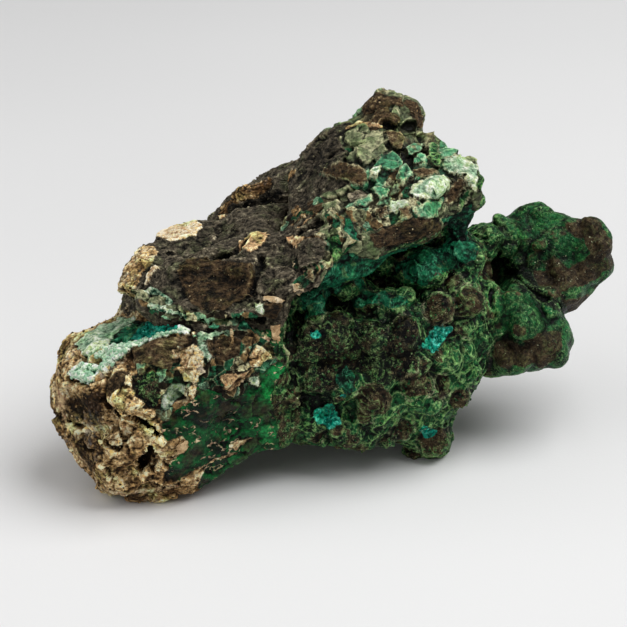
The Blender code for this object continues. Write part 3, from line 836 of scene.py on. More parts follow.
class Paint:
    """The numbers that say what the skin is at each of its points."""

    def __init__(self, points, normals):
        self.points = points
        self.facing = smooth_step(-0.1, 0.2, normals @ -np.array(camera_axes()[0]))
        self.shifted = points + wobble(points, 5, 1.6, 2) + wobble(points, 1.6, 0.5, 3)
        self.ragged = points + wobble(points, 2.4, 0.5, 5) + wobble(points, 1.0, 0.35, 4)
        self.numbers = {name: np.zeros(len(points)) for name in (*MINERALS, *PAINTED, "lift")}

    def blend(self, name, value, weight, at=slice(None)):
        self.numbers[name][at] += (value - self.numbers[name][at]) * weight

    def cover(self, mineral, weight, at=slice(None)):
        for name in MINERALS:
            self.blend(name, 1.0 if name == mineral else 0.0, weight, at)

    def add_ground(self):
        """What each part of the stone is made of, where the picture marks nothing."""
        x, y, z = self.shifted.T
        slab = smooth_step(-1.2, 1.2, z - np.interp(x, SLAB_EDGE_X, SLAB_EDGE_Z))
        low = 1 - slab
        right = slab * smooth_step(-6, -2, x)
        behind = low * smooth_step(4, 12, y) * (1 - smooth_step(16, 24, x))
        broad = np.array([noise.noise(Vector(p) / 13) for p in self.shifted])
        self.cover("malachite", np.ones(len(x)))
        self.cover("emerald", 1 - smooth_step(-12.5, -11, x))
        self.cover("ochre", 1 - smooth_step(-29, -27, x))
        self.cover("ochre", behind * smooth_step(-0.05, 0.05, broad))
        self.cover("umber", behind * smooth_step(0.22, 0.3, broad))
        self.cover("oxide", slab)
        self.cover("verdigris", right * smooth_step(0, 0.1, broad))
        self.cover("olive", right * (1 - smooth_step(0, 0.1, broad)))
        lobes = low * smooth_step(30, 36, x)
        self.numbers["core"] = 0.15 * lobes
        self.numbers["shown"] = 0.85 * lobes
        self.numbers["calm"] = lobes

    def add_knob_tops(self, tree):
        """Brown on the knobs that the picture shows, and a mark that no other knob belongs near them."""
        for u, v, radius, brown in KNOBS:
            away = path_distance(0.6 * self.points + 0.4 * self.shifted, picture_path(tree, [(u, v)]))
            reach = radius * PIXEL
            ring = (1 - smooth_step(0.1, 0.35, np.abs(away - 1.1 * reach))) * (1 - self.numbers["calm"])
            self.numbers["rim"] = np.maximum(self.numbers["rim"], 0.8 * brown * ring)
            top = brown * (1 - smooth_step(0.5 * reach, 1.2 * reach, away))
            near = 1 - smooth_step(1.0 * reach, 2.2 * reach, away)
            self.numbers["core"] = np.maximum(self.numbers["core"], top)
            self.numbers["shown"] = np.maximum(self.numbers["shown"], near)

    def add_strokes(self, tree):
        for mineral, shade, radius, pixels in STROKES:
            away = path_distance(self.shifted if radius > 3 else self.ragged, picture_path(tree, pixels))
            reach = radius * PIXEL
            weight = 1 - smooth_step(0.75 * reach, 1.25 * reach, away)
            self.cover(mineral, weight)
            self.blend("shade", shade, weight)

    def add_areas(self, tree):
        for mineral, shade, proud, outline in AREAS:
            middle = np.mean(outline, axis=0)
            spread = np.linalg.norm(np.array(outline) - middle, axis=1).max() * PIXEL
            from_middle = np.linalg.norm(self.points - np.array(picture_place(tree, *middle)[0]), axis=1)
            at = np.flatnonzero(from_middle < 1.6 * spread + 3)
            source = self.ragged if proud else self.shifted * 0.5 + self.points * 0.5
            depth = depth_inside(*picture_pixels(source[at]), outline)
            weight = smooth_step(-2.5, 2.5, depth) * self.facing[at]
            step = smooth_step(-1, 1, depth) * self.facing[at] if proud else weight
            self.blend("shade", shade, weight, at)
            self.blend("flat", 1.0 if proud else 0.0, step, at)
            self.blend("rim", 0.0, step, at)
            self.blend("lift", proud, step, at)
            if mineral in BROWNNESS:
                self.cover("malachite", weight, at)
                self.blend("core", BROWNNESS[mineral], weight, at)
                self.blend("shown", 1.0, weight, at)
            else:
                self.cover(mineral, weight, at)
            if mineral in RIMMED and proud > RIMMED_FROM:
                edge = 1 - smooth_step(0.5, 1.7, np.abs(depth - 0.4))
                self.numbers["rim"][at] = np.maximum(self.numbers["rim"][at], edge)


def plate_cells(g, place, spacing, feature="F1"):
    """The plates' cells, which the relief and the colours share."""
    inputs = {"Vector": g.warped(place, *LOOSE_WARP), "Scale": g.math("DIVIDE", 1.0, spacing)}
    return g.add("ShaderNodeTexVoronoi", inputs, feature=feature)


def veins(g, place, width):
    """The lines that run over the malachite, which the relief and the colours share."""
    return g.contours(g.warped(place, 2.5, 0.6), 6.0, 6, width)


def swirls(g, place, width):
    """The lines that curl over the dry ochre, which the relief and the colours share."""
    return g.contours(g.warped(place, 5, 1.5), 4.5, 9, width)


def rubble_cells(g, place, feature="F1"):
    """The cells of the broken ground, which the relief and the colours share."""
    return g.cells(g.warped(g.warped(place, 4, 1.2), 1.2, 0.3), 2.3, feature)


def facets(g, cells, at, tilt, step):
    """Flat faces at random heights and tilts, one for each cell, in millimetres."""
    lean = g.centred_vector(cells.outputs["Color"])
    from_middle = g.vector("SUBTRACT", at, cells.outputs["Position"])
    slope = g.vector("DOT_PRODUCT", lean, from_middle)
    return g.weigh((slope, 2.0 * tilt / MM), (g.centred(g.part(cells.outputs["Color"], 0)), 2.0 * step))


def standing(g, place, normal, times):
    """How far a point stands out of its surroundings, in millimetres."""
    inputs = {"Value": place, "Iterations": times}
    blurred = g.add("GeometryNodeBlurAttribute", inputs, data_type="FLOAT_VECTOR").outputs[0]
    return g.times(g.vector("DOT_PRODUCT", g.vector("SUBTRACT", place, blurred), normal), 1 / MM)


def relief_tree(material):
    """Geometry nodes that give each mineral its own relief, and record what the materials need to know."""
    labels = ("Knob Spacing", "Knob Height", "Plate Spacing", "Plate Height", "Grain Height")
    solid = ("Geometry", "NodeSocketGeometry")
    inputs = [(*solid, None)] + [(label, "NodeSocketFloat", MM) for label in labels]
    tree = new_tree("mineral relief", "GeometryNodeTree", inputs, [solid])
    g = Graph(tree)
    given = g.add("NodeGroupInput").outputs
    place = g.add("GeometryNodeInputPosition").outputs[0]
    normal = g.add("GeometryNodeInputNormal").outputs[0]
    loose = g.warped(place, *LOOSE_WARP)
    tight = g.warped(place, *TIGHT_WARP)
    knob_inputs = {"Vector": loose, "Scale": g.math("DIVIDE", 1.0, given["Knob Spacing"]), "Randomness": 1.0}
    knob_cells = g.add("ShaderNodeTexVoronoi", knob_inputs)
    knob = g.dome(knob_cells.outputs["Distance"], 0.7)
    bead = g.dome(g.cells(tight, 2.3, randomness=0.9).outputs["Distance"], 0.75)
    froth = g.dome(g.cells(tight, 1.5).outputs["Distance"], 0.8)
    broad = g.centred(g.noise(place, 7, 4).outputs["Fac"])
    ridged = g.noise(tight, 3.2, 6, 0.62, noise_type="RIDGED_MULTIFRACTAL").outputs["Fac"]
    ridged = g.math("SUBTRACT", g.math("MINIMUM", ridged, 2.0), 0.7)
    fibre_place = g.vector("MULTIPLY", tight, (0.45, 1.0, 1.5))
    fibres = g.centred(g.noise(fibre_place, 1.1, 4, 0.6).outputs["Fac"])
    fine = g.centred(g.noise(place, 0.9, 4, 0.65).outputs["Fac"])
    tame = g.rest(g.times(g.named("flat"), 0.85))
    plates = facets(g, plate_cells(g, place, given["Plate Spacing"]), loose, 0.22, 0.5)
    plates = g.times(plates, given["Plate Height"], 1 / MM, tame)
    chips = g.times(facets(g, g.cells(tight, CHIP_SPACING), tight, 0.3, 0.22), tame)
    druse = facets(g, g.cells(place, 0.9), place, 0.5, 0.12)
    unmarked = g.rest(g.named("shown"))
    knob_height = g.times(g.math("SUBTRACT", knob, 0.45), given["Knob Height"], unmarked, 1 / MM)
    grain = g.times(given["Grain Height"], 1 / MM)
    lively = g.rest(g.times(g.named("calm"), 0.9))
    rubble_rim = g.remap(rubble_cells(g, place, "DISTANCE_TO_EDGE").outputs["Distance"], 0.0, 0.12, 0.12, 0.0)
    rubble = g.weigh((rubble_rim,), (g.part(rubble_cells(g, place).outputs["Color"], 0), 0.5))
    rope = swirls(g, place, 0.45)
    net = veins(g, place, 0.22)
    forms = {
        "ochre": [(plates, 0.6), (chips, 0.25), (ridged, grain, 0.15), (rope, 0.22), (fibres, grain, 1.5),
                  (fine, grain, 1.4)],
        "umber": [(plates, 0.25), (chips, 0.3), (ridged, grain, 1.0), (fibres, grain, 2), (fine, grain, 2.2)],
        "oxide": [(plates, 0.25), (chips, 0.3), (ridged, grain, 1.0), (fibres, grain, 3.5),
                  (fine, grain, 2.4)],
        "rubble": [(plates, 0.4), (chips, 0.4), (rubble, 1.0), (ridged, grain, 0.6), (fine, grain, 1.8)],
        "olive": [(plates, 1.0), (chips, 0.6), (fine, grain, 1.2)],
        "verdigris": [(plates, 0.9), (chips, 0.6), (fine, grain, 1.2)],
        "malachite": [(knob_height, 1), (bead, 0.1), (ridged, grain, lively), (fine, grain, 1.6),
                      (net, lively, 0.25)],
        "emerald": [(broad, 2.2), (chips, 0.6), (fibres, grain, 2.0), (fine, grain, 1.2)],
        "teal": [(knob_height, 0.6), (chips, 0.4), (ridged, grain, 0.6), (fibres, grain, 2.2),
                 (fine, grain, 1.2)],
        "mint": [(plates, 0.4), (chips, 0.5), (fibres, grain, 1.4), (fine, grain, 1.0)],
        "froth": [(froth, 0.45), (broad, 1.6), (fine, grain, 1.8)],
        "turquoise": [(druse, 0.8), (bead, 0.2)],
        "cream": [(chips, 0.4), (fibres, grain, 2.0), (fine, grain, 1.6)],
        "peach": [(chips, 0.5), (ridged, grain, 1.0), (fibres, grain, 3.0), (fine, grain, 1.6)],
    }
    heights = [g.times(g.named(name), g.weigh(*terms)) for name, terms in forms.items()]
    lift = g.vector("SCALE", normal, g.times(g.total(*heights), MM))
    result = g.store(given["Geometry"], "bed", place, "FLOAT_VECTOR")
    result = g.store(result, "knob", knob_cells.outputs["Distance"])
    result = g.add("GeometryNodeSetPosition", {"Geometry": result, "Offset": lift}).outputs[0]
    result = g.store(result, "cavity", standing(g, place, normal, 8))
    result = g.store(result, "hollow", standing(g, place, normal, 90))
    end_tree(g, result, material)
    return tree


# Where the skin parts: what is cut, what comes off in front of the plane, a point of the plane in
# millimetres, and the plane's normal.
PARTINGS = (
    ("malachite_mass", "dark_slab", (0, 0, 44), (-0.27, 0, 0.96)),
    ("dark_slab", "plated_slab", (-4, 0, 0), (1, 0, 0)),
    ("malachite_mass", "ochre_block", (-28, 0, 0), (-1, 0, 0)),
    ("malachite_mass", "green_shoulder", (-11.5, 0, 0), (-1, 0, 0)),
    ("malachite_mass", "malachite_lobes", (31, 0, 0), (1, 0, 0)),
    ("malachite_mass", "back_crust", (0, 8, 0), (0, 1, 0)),
)


def split_skin(obj):
    """Parts the skin along the stone's own creases, and closes each part."""
    mass = bmesh.new()
    mass.from_mesh(obj.data)
    parts = {"malachite_mass": mass}
    for source, name, point, normal in PARTINGS:
        parts[name] = parts[source].copy()
        keep_front(parts[name], Vector(point) * MM, Vector(normal))
        keep_front(parts[source], Vector(point) * MM, -Vector(normal))
    return parts


def keep_front(bm, point, normal):
    """Cuts with a plane, drops what lies behind it, and fills the cut."""
    everything = bm.verts[:] + bm.edges[:] + bm.faces[:]
    bmesh.ops.bisect_plane(bm, geom=everything, plane_co=point, plane_no=normal, clear_inner=True)
    rim = [edge for edge in bm.edges if edge.is_boundary]
    for edge in rim:
        edge.smooth = False
    filled = bmesh.ops.triangle_fill(bm, edges=rim, use_dissolve=False, use_beauty=True)["geom"]
    for face in filled:
        if isinstance(face, bmesh.types.BMFace):
            face.normal_update()
            if face.normal.dot(normal) > 0:
                face.normal_flip()


# The minerals' looks


# Each look's tone takes in the Cavity and the Shade, so hollows come out darker, and raised places and the
# areas marked lighter come out lighter: painted shade and highlight, along with each mineral's own mottling.
NOISE_FIELDS = ("Broad", "Broad 2", "Mottle", "Mottle 2", "Grain", "Grain 2")
PLACE_FIELDS = ("Cavity", "Core", "Shade", "Calm")
COLOUR_FIELDS = ("Light", "Mid", "Dark", "Core Light", "Core Mid")
FIELD_INPUTS = [("Place", "NodeSocketVector", (0, 0, 0))]
FIELD_INPUTS += [(label, "NodeSocketFloat", 0.5) for label in NOISE_FIELDS]
FIELD_INPUTS += [(label, "NodeSocketFloat", 0.0) for label in PLACE_FIELDS]
FIELD_INPUTS += [(label, "NodeSocketColor", (1, 1, 1, 1)) for label in COLOUR_FIELDS]
FIELD_OUTPUTS = [
    ("Color", "NodeSocketColor"), ("Roughness", "NodeSocketFloat"), ("Height", "NodeSocketFloat"),
]
BLACK = (0, 0, 0, 1)
# Grey for the glossy bits of the ochre: a painted reflection.
GLOSS_HIGHLIGHT_GREY = (0.32, 0.31, 0.30, 1)
RUST = (0.22, 0.11, 0.04, 1)
RUST_SPECK = (0.30, 0.27, 0.14, 1)
# Tiny pale specks on the malachite: painted glints.
GLINT_SPECK = (0.55, 0.58, 0.36, 1)
GREEN_TINT = (0.72, 1.0, 0.66, 1)
# Lightening of raised spots: a painted highlight.
RAISED_HIGHLIGHT = (0.2, 0.2, 0.17, 1)


def three_tones(g, i, tone, low, high):
    """Dark, middle and light colour by the tone, with the two ranges over which they meet."""
    tone = g.weigh((tone,), (i["Shade"], 0.16))
    colour = g.mix(g.remap(tone, *low), i["Dark"], i["Mid"])
    return g.mix(g.remap(tone, *high), colour, i["Light"])


def ochre_look(g, i):
    fibres = g.streaks(i["Place"], (4, 1.2), (0.4, 1.0, 1.6), 0.8)
    tone = g.weigh((i["Mottle"], 0.4), (fibres, 0.45), (i["Grain"], 0.15), (g.centred(i["Broad"]), 1.1),
                   (i["Cavity"], 0.4))
    colour = three_tones(g, i, tone, (0.36, 0.5), (0.5, 0.68))
    furrow = g.times(g.rest(swirls(g, i["Place"], 0.5)), g.remap(i["Mottle 2"], 0.44, 0.56), 0.4)
    colour = g.mix(furrow, colour, i["Dark"])
    # The glossy bits are smoother, and their grey is a painted reflection.
    glossy = g.times(g.remap(i["Broad 2"], 0.58, 0.64), g.remap(i["Mottle 2"], 0.5, 0.6))
    colour = g.mix(g.times(glossy, 0.5), colour, GLOSS_HIGHLIGHT_GREY)
    rust = g.times(g.fade(i["Broad"], 0.42, 0.5), g.remap(i["Mottle 2"], 0.36, 0.56), 0.45)
    colour = g.mix(rust, colour, RUST)
    spots = g.fade(g.cells(g.warped(i["Place"], 1.0, 0.3), 1.5).outputs["Distance"], 0.15, 0.28)
    spots = g.times(spots, g.fade(i["Broad 2"], 0.38, 0.46), g.remap(i["Mottle 2"], 0.48, 0.56))
    colour = g.mix(g.highest(spots, g.remap(i["Grain 2"], 0.6, 0.68, 0.0, 0.7)), colour, i["Dark"])
    return colour, g.blend(glossy, 0.7, 0.32), g.weigh((fibres, 0.9), (i["Grain"], 0.5))


def rubble_look(g, i):
    """Broken bits of several minerals side by side, with pale lines between them."""
    pick = g.weigh((g.part(rubble_cells(g, i["Place"]).outputs["Color"], 1),), (i["Shade"], 0.2))
    colour = i["Dark"]
    for label, low, high in (("Core Mid", 0.22, 0.28), ("Mid", 0.44, 0.5), ("Core Light", 0.7, 0.76),
                             ("Light", 0.9, 0.94)):
        colour = g.mix(g.remap(pick, low, high), colour, i[label])
    tone = g.weigh((i["Mottle"], 0.6), (i["Grain"], 0.4), (i["Cavity"], 0.6))
    colour = g.mix(g.remap(tone, 0.4, 0.56, 0.75, 0.0), colour, i["Dark"])
    edge = rubble_cells(g, i["Place"], "DISTANCE_TO_EDGE").outputs["Distance"]
    rim = g.times(g.fade(edge, 0.02, 0.07), g.remap(i["Mottle 2"], 0.47, 0.56), 0.25)
    colour = g.mix(rim, colour, i["Light"])
    return colour, None, g.weigh((i["Grain"], 0.7), (i["Mottle"], 0.5))


def oxide_look(g, i):
    streaks = g.streaks(i["Place"], (5, 1.2), (0.35, 1.0, 1.2), 0.8)
    tone = g.weigh((i["Mottle"], 0.35), (streaks, 0.45), (i["Grain"], 0.2), (i["Cavity"], 0.35))
    colour = three_tones(g, i, tone, (0.36, 0.54), (0.54, 0.7))
    speck = g.times(g.remap(i["Grain 2"], 0.66, 0.7), g.remap(i["Mottle 2"], 0.48, 0.56))
    colour = g.mix(speck, colour, RUST_SPECK)
    roughness = g.remap(i["Grain"], 0.4, 0.7, 0.6, 0.38)
    return colour, roughness, g.weigh((i["Grain"], 0.7), (streaks, 0.9))


def plate_look(g, i):
    cells = plate_cells(g, i["Place"], PLATE_SPACING * MM).outputs["Color"]
    edge = plate_cells(g, i["Place"], PLATE_SPACING * MM, "DISTANCE_TO_EDGE").outputs["Distance"]
    small = g.warped(i["Place"], *TIGHT_WARP)
    chip = g.cells(small, CHIP_SPACING).outputs["Color"]
    chip_edge = g.cells(small, CHIP_SPACING, "DISTANCE_TO_EDGE").outputs["Distance"]
    tone = g.weigh((i["Mottle"], 0.5), (g.part(cells, 1), 0.2), (i["Grain"], 0.15), (g.part(chip, 1), 0.1),
                   (i["Cavity"], 0.5), (i["Shade"], 0.2), (0.02,))
    colour = g.mix(g.remap(tone, 0.36, 0.52), i["Dark"], i["Mid"])
    colour = g.mix(g.remap(tone, 0.54, 0.8, 0.0, 0.6), colour, i["Light"])
    bare = g.fade(g.weigh((g.part(cells, 2),), (i["Mottle"], 0.4), (i["Shade"],)), 0.36, 0.42)
    brown = g.mix(g.remap(i["Mottle 2"], 0.4, 0.6), i["Core Mid"], i["Core Light"])
    colour = g.mix(g.times(bare, 0.8), colour, brown)
    rim = g.highest(g.fade(edge, 0.012, 0.03), g.remap(chip_edge, 0.012, 0.035, 0.6, 0.0))
    rim = g.times(rim, g.remap(i["Mottle 2"], 0.44, 0.54), 0.8)
    colour = g.mix(rim, colour, i["Light"])
    return colour, g.blend(rim, 0.36, 0.7), g.weigh((i["Grain"], 0.25), (i["Mottle"], 0.5), (rim, 0.1))


def malachite_look(g, i):
    """Green with a net of pale veins, and brown where the core's number says so."""
    tone = g.weigh((i["Mottle"], 0.6), (i["Broad"], 0.25), (i["Grain"], 0.15), (i["Cavity"], 0.6),
                   (i["Shade"], 0.2))
    colour = g.mix(g.remap(tone, 0.4, 0.62), i["Dark"], i["Mid"])
    # Painted highlight: the pale colour on the raised grain of the malachite.
    ridge_highlight = g.times(g.remap(i["Grain"], 0.46, 0.66), g.remap(i["Cavity"], -0.02, 0.12), 0.4)
    colour = g.mix(ridge_highlight, colour, i["Light"])
    stain = g.weigh((g.centred(i["Mottle 2"]), 1.3), (g.centred(i["Broad"]), 1.6),
                    (g.centred(i["Grain"]), 0.5))
    core_edge = g.weigh((i["Core"],), (stain,), (i["Calm"], -0.15))
    core = g.remap(core_edge, 0.16, 0.46)
    shown = g.times(g.remap(i["Cavity"], -0.12, 0.02), g.rest(g.times(i["Calm"], 0.75)))
    curls = g.contours(g.warped(i["Place"], 1.6, 0.3), 2.6, 18, 0.34)
    curls = g.times(curls, g.remap(i["Mottle 2"], 0.44, 0.58), shown)
    warm = g.remap(g.weigh((i["Mottle"],), (i["Shade"], 0.2)), 0.4, 0.6, g.times(i["Calm"], 0.45))
    dusty = g.times(g.remap(g.total(i["Grain"], i["Mottle"]), 0.96, 1.2, 0.0, 0.22), i["Calm"])
    brown = g.mix(warm, BLACK, i["Core Mid"])
    brown = g.mix(g.highest(g.times(curls, 0.6), dusty), brown, i["Core Light"])
    colour = g.mix(core, colour, brown)
    vivid = g.weigh((i["Broad 2"], 0.55), (i["Mottle"], 0.45), (i["Shade"], 0.12), (core, -0.03))
    cell = g.cells(g.warped(i["Place"], 1.6, 0.6), 2.9, "DISTANCE_TO_EDGE").outputs["Distance"]
    web = g.cells(g.warped(i["Place"], 0.9, 0.35), 1.5, "DISTANCE_TO_EDGE").outputs["Distance"]
    web = g.times(g.fade(web, 0.02, 0.09), g.remap(i["Mottle 2"], 0.47, 0.55), 0.7)
    net = g.highest(veins(g, i["Place"], 0.1), g.fade(cell, 0.015, 0.05), web)
    net = g.times(net, g.remap(vivid, 0.44, 0.54), g.rest(g.times(core, 0.5)))
    loop = g.times(g.line(g.math("SUBTRACT", core_edge, 0.26), 0.06), g.remap(i["Grain 2"], 0.38, 0.46))
    lines = g.times(g.highest(net, loop), shown)
    colour = g.mix(g.times(lines, 0.58), colour, i["Light"])
    # Painted glints: tiny pale specks over the malachite.
    speck = g.times(g.remap(i["Grain 2"], 0.68, 0.72), g.remap(i["Grain"], 0.45, 0.5))
    colour = g.mix(speck, colour, GLINT_SPECK)
    height = g.weigh((i["Grain"], 0.35), (lines, 0.12), (curls, core, 0.12), (i["Mottle"], 0.5))
    return colour, g.blend(lines, g.blend(core, 0.3, 0.45), 0.6), height


def emerald_look(g, i):
    tone = g.weigh((i["Mottle"], 0.4), (i["Broad"], 0.55), (i["Cavity"], 0.3), (i["Shade"], 0.3))
    colour = g.mix(g.remap(tone, 0.38, 0.56), i["Dark"], i["Mid"])
    # Painted light, partly: the bright glassy green goes where the tone is high, which takes in raised places
    # and the areas marked lighter.
    colour = g.mix(g.remap(tone, 0.54, 0.76, 0.0, 0.8), colour, i["Core Light"])
    colour = g.mix(g.remap(i["Broad 2"], 0.38, 0.46, 0.5, 0.0), colour, i["Core Mid"])
    contour = g.streaks(i["Place"], (3.5, 1.5), (0.55, 1.0, 1.3), 2.4, 2)
    broken = g.times(g.remap(i["Broad 2"], 0.46, 0.52), g.remap(i["Mottle 2"], 0.46, 0.5))
    thread = g.times(g.line(g.math("SUBTRACT", contour, 0.52), 0.045), broken)
    colour = g.mix(thread, colour, i["Light"])
    return colour, g.blend(thread, 0.24, 0.7), g.weigh((thread, 0.3), (i["Mottle"], 0.5))


def satin_look(g, i):
    tone = g.weigh((i["Mottle"], 0.6), (i["Grain"], 0.15), (i["Cavity"], 0.9), (0.1,))
    colour = three_tones(g, i, tone, (0.4, 0.6), (0.6, 0.82))
    # Painted sheen: pale lines along the folds, which also give them a little bump.
    folds = g.vector("MULTIPLY", g.warped(i["Place"], 2.5, 0.5), (1.0, 1.0, 0.4))
    sheen = g.contours(folds, 3.0, 12, 0.3)
    colour = g.mix(g.times(sheen, g.remap(i["Mottle 2"], 0.48, 0.6), 0.5), colour, i["Light"])
    lines = g.times(veins(g, i["Place"], 0.09), g.remap(i["Broad 2"], 0.5, 0.58), 0.25)
    colour = g.mix(lines, colour, i["Core Light"])
    roughness = g.remap(i["Grain"], 0.3, 0.7, 0.28, 0.5)
    return colour, roughness, g.weigh((i["Grain"], 0.4), (sheen, 0.1))


def mint_look(g, i):
    streaks = g.streaks(i["Place"], (3, 0.8), (0.4, 1.0, 1.4), 0.7)
    tone = g.weigh((i["Mottle"], 0.35), (streaks, 0.35), (i["Broad"], 0.15), (i["Cavity"], 0.8), (0.05,))
    colour = three_tones(g, i, tone, (0.34, 0.46), (0.47, 0.6))
    colour = g.mix(g.remap(i["Grain 2"], 0.64, 0.7), colour, i["Dark"])
    return colour, None, g.weigh((i["Grain"], 0.5), (i["Mottle"], 0.3))


def druse_look(g, i):
    # Each crystal face gets a random brightness: painted glints, which also set the roughness and the bump.
    lit = g.part(g.cells(i["Place"], 0.5).outputs["Color"], 0)
    tone = g.weigh((i["Mottle"], 0.5), (lit, 0.3), (i["Cavity"], 0.5), (0.05,))
    colour = three_tones(g, i, tone, (0.25, 0.42), (0.5, 0.75))
    return colour, g.remap(lit, 0.2, 0.8, 0.15, 0.45), g.times(lit, 0.4)


def rind_look(g, i):
    bands = g.streaks(i["Place"], (3, 0.8), (0.5, 1.0, 1.3), 0.7)
    tone = g.weigh((i["Mottle"], 0.55), (bands, 0.2), (i["Grain"], 0.2), (i["Cavity"], 0.6), (0.02,))
    colour = three_tones(g, i, tone, (0.3, 0.44), (0.48, 0.62))
    colour = g.mix(g.remap(i["Grain 2"], 0.58, 0.68, 0.0, 0.8), colour, i["Dark"])
    return colour, None, g.weigh((i["Grain"], 0.3), (i["Mottle"], 0.3))


LOOKS = {
    "ochre": ochre_look, "umber": oxide_look, "oxide": oxide_look, "rubble": rubble_look,
    "olive": plate_look, "verdigris": plate_look,
    "malachite": malachite_look, "emerald": emerald_look, "teal": satin_look, "mint": mint_look,
    "froth": mint_look, "turquoise": druse_look, "cream": rind_look, "peach": rind_look,
}

# What a mineral takes for its light and middle core colours, where it isn't the brown of the knobs.
SPARE_COLOURS = {
    "rubble": ("rubble_mint", "rubble_green"), "emerald": ("emerald_bright", "core_mid"),
    "teal": ("malachite_light", "core_mid"),
}

# The minerals that are equally rough all over, whose groups put out no roughness.
EVEN_ROUGHNESS = {"rubble": 0.6, "mint": 0.85, "froth": 0.85, "cream": 0.72, "peach": 0.72}


def look_group(look):
    """The shader group of one kind of mineral, made once."""
    name = look.__name__.replace("_", " ")
    found = bpy.data.node_groups.get(name)
    if found:
        return found
    tree = new_tree(name, "ShaderNodeTree", FIELD_INPUTS, [])
    g = Graph(tree)
    given = g.add("NodeGroupInput").outputs
    end = g.add("NodeGroupOutput")
    for (label, socket_type), value in zip(FIELD_OUTPUTS, look(g, given)):
        if value is not None:
            tree.interface.new_socket(label, in_out="OUTPUT", socket_type=socket_type)
            g.feed(end.inputs[label], value)
    return tree


def mineral_fields(g, place, cavity, core, shade, calm):
    """The noises that every mineral's look is made from, and the relief at the place."""
    fields = {"Place": place, "Cavity": cavity, "Core": core, "Shade": shade, "Calm": calm}
    for label, size, detail in (("Broad", 6.5, 3), ("Mottle", 1.7, 4), ("Grain", 0.42, 2)):
        colour = g.noise(place, size, detail, 0.55).outputs["Color"]
        parts = g.add("ShaderNodeSeparateXYZ", {0: colour}).outputs
        fields[label] = parts[0]
        fields[label + " 2"] = parts[1]
    return fields


def add_look(g, mineral, fields, colours):
    """Places a mineral's group in a material, and gives the mineral's colour, roughness and height."""
    values = dict(fields)
    for label, key in (("Light", "light"), ("Mid", "mid"), ("Dark", "dark")):
        values[label] = (*getattr(colours, f"{mineral}_{key}"), 1)
    for label, key in zip(("Core Light", "Core Mid"), SPARE_COLOURS.get(mineral, ("core_light", "core_mid"))):
        values[label] = (*getattr(colours, key), 1)
    made = g.add("ShaderNodeGroup", values, node_tree=look_group(LOOKS[mineral])).outputs
    roughness = EVEN_ROUGHNESS[mineral] if mineral in EVEN_ROUGHNESS else made["Roughness"]
    return made["Color"], roughness, made["Height"]


def start_material(name):
    material = bpy.data.materials.new(name)
    material.use_nodes = True
    material.node_tree.nodes.clear()
    return material, Graph(material.node_tree)


def end_material(g, colour, roughness, height):
    normal = g.add("ShaderNodeBump", {"Strength": 1.0, "Distance": MM, "Height": height}).outputs[0]
    inputs = {"Base Color": colour, "Roughness": roughness, "Normal": normal, "Specular IOR Level": 0.12}
    shader = g.add("ShaderNodeBsdfPrincipled", inputs).outputs[0]
    g.add("ShaderNodeOutputMaterial", {"Surface": shader})


def skin_material(colours):
    """All the minerals in one material, each where the skin's own numbers put it."""
    material, g = start_material("specimen minerals")

    def number(name):
        return g.add("ShaderNodeAttribute", attribute_name=name).outputs["Fac"]

    place = g.add("ShaderNodeAttribute", attribute_name="bed").outputs["Vector"]
    knob_core = g.remap(number("knob"), 0.12, 0.5, 0.8, 0.0)
    core = g.highest(number("core"), g.times(knob_core, g.rest(number("shown"))))
    fields = mineral_fields(g, place, number("cavity"), core, number("shade"), number("calm"))
    ragged = g.weigh((fields["Mottle"],), (fields["Grain"], 0.7), (-0.85,))
    colour, roughness, height = add_look(g, "oxide", fields, colours)
    for mineral in MINERALS:
        if mineral == "oxide":
            continue
        mask = g.remap(g.total(number(mineral), ragged), 0.38, 0.62)
        own_colour, own_roughness, own_height = add_look(g, mineral, fields, colours)
        colour = g.mix(mask, colour, own_colour)
        roughness = g.blend(mask, roughness, own_roughness)
        height = g.blend(mask, height, own_height)
    rim = g.times(number("rim"), g.remap(fields["Grain 2"], 0.4, 0.52), g.remap(fields["Mottle"], 0.4, 0.5))
    colour = g.mix(g.times(rim, 0.85), colour, (*colours.olive_light, 1))
    detail = g.remap(g.noise(place, 0.8, 5, 0.7).outputs["Fac"], 0.36, 0.64)
    colour = g.mix(0.6, colour, detail, "OVERLAY")
    tint = g.remap(g.noise(place, 4.5, 4, 0.6).outputs["Fac"], 0.5, 0.64, 0.0, 0.6)
    colour = g.mix(tint, colour, GREEN_TINT, "MULTIPLY")
    # Painted highlight: the raised spots are lightened.
    colour = g.mix(g.remap(fields["Cavity"], 0.02, 0.16), colour, RAISED_HIGHLIGHT, "DODGE")
    # Painted shade: deep hollows, creases (less of it on the ochre) and the areas marked darker are darkened
    # towards black.
    deep = g.remap(number("hollow"), -1.0, 0.3, 0.7, 0.0)
    crease_shade = g.remap(fields["Cavity"], -0.18, 0.02, 0.78, 0.0)
    crease_shade = g.times(crease_shade, g.rest(g.times(number("ochre"), 0.4)))
    painted_area_shade = g.remap(fields["Shade"], -1.0, 0.0, 0.7, 0.0)
    colour = g.mix(g.highest(deep, crease_shade, painted_area_shade), colour, BLACK)
    end_material(g, colour, roughness, height)
    return material


def grain_material(name, mineral, colours):
    """One mineral alone, for the separate beads, crumbs and chips."""
    material, g = start_material(name)
    place = g.add("ShaderNodeTexCoord").outputs["Object"]
    fields = mineral_fields(g, place, 0.02, 0.0, 0.1, 0.0)
    end_material(g, *add_look(g, mineral, fields, colours))
    return material


# Beads, crumbs and crystals


# How far the bodies lean out of upright, in radians, and how uneven beads and crumbs are, in millimetres.
LEAN = {"bead": 0.2, "crumb": 3.1, "crystal": 0.7}
UNEVEN = {"bead": 0.15, "crumb": 0.8}


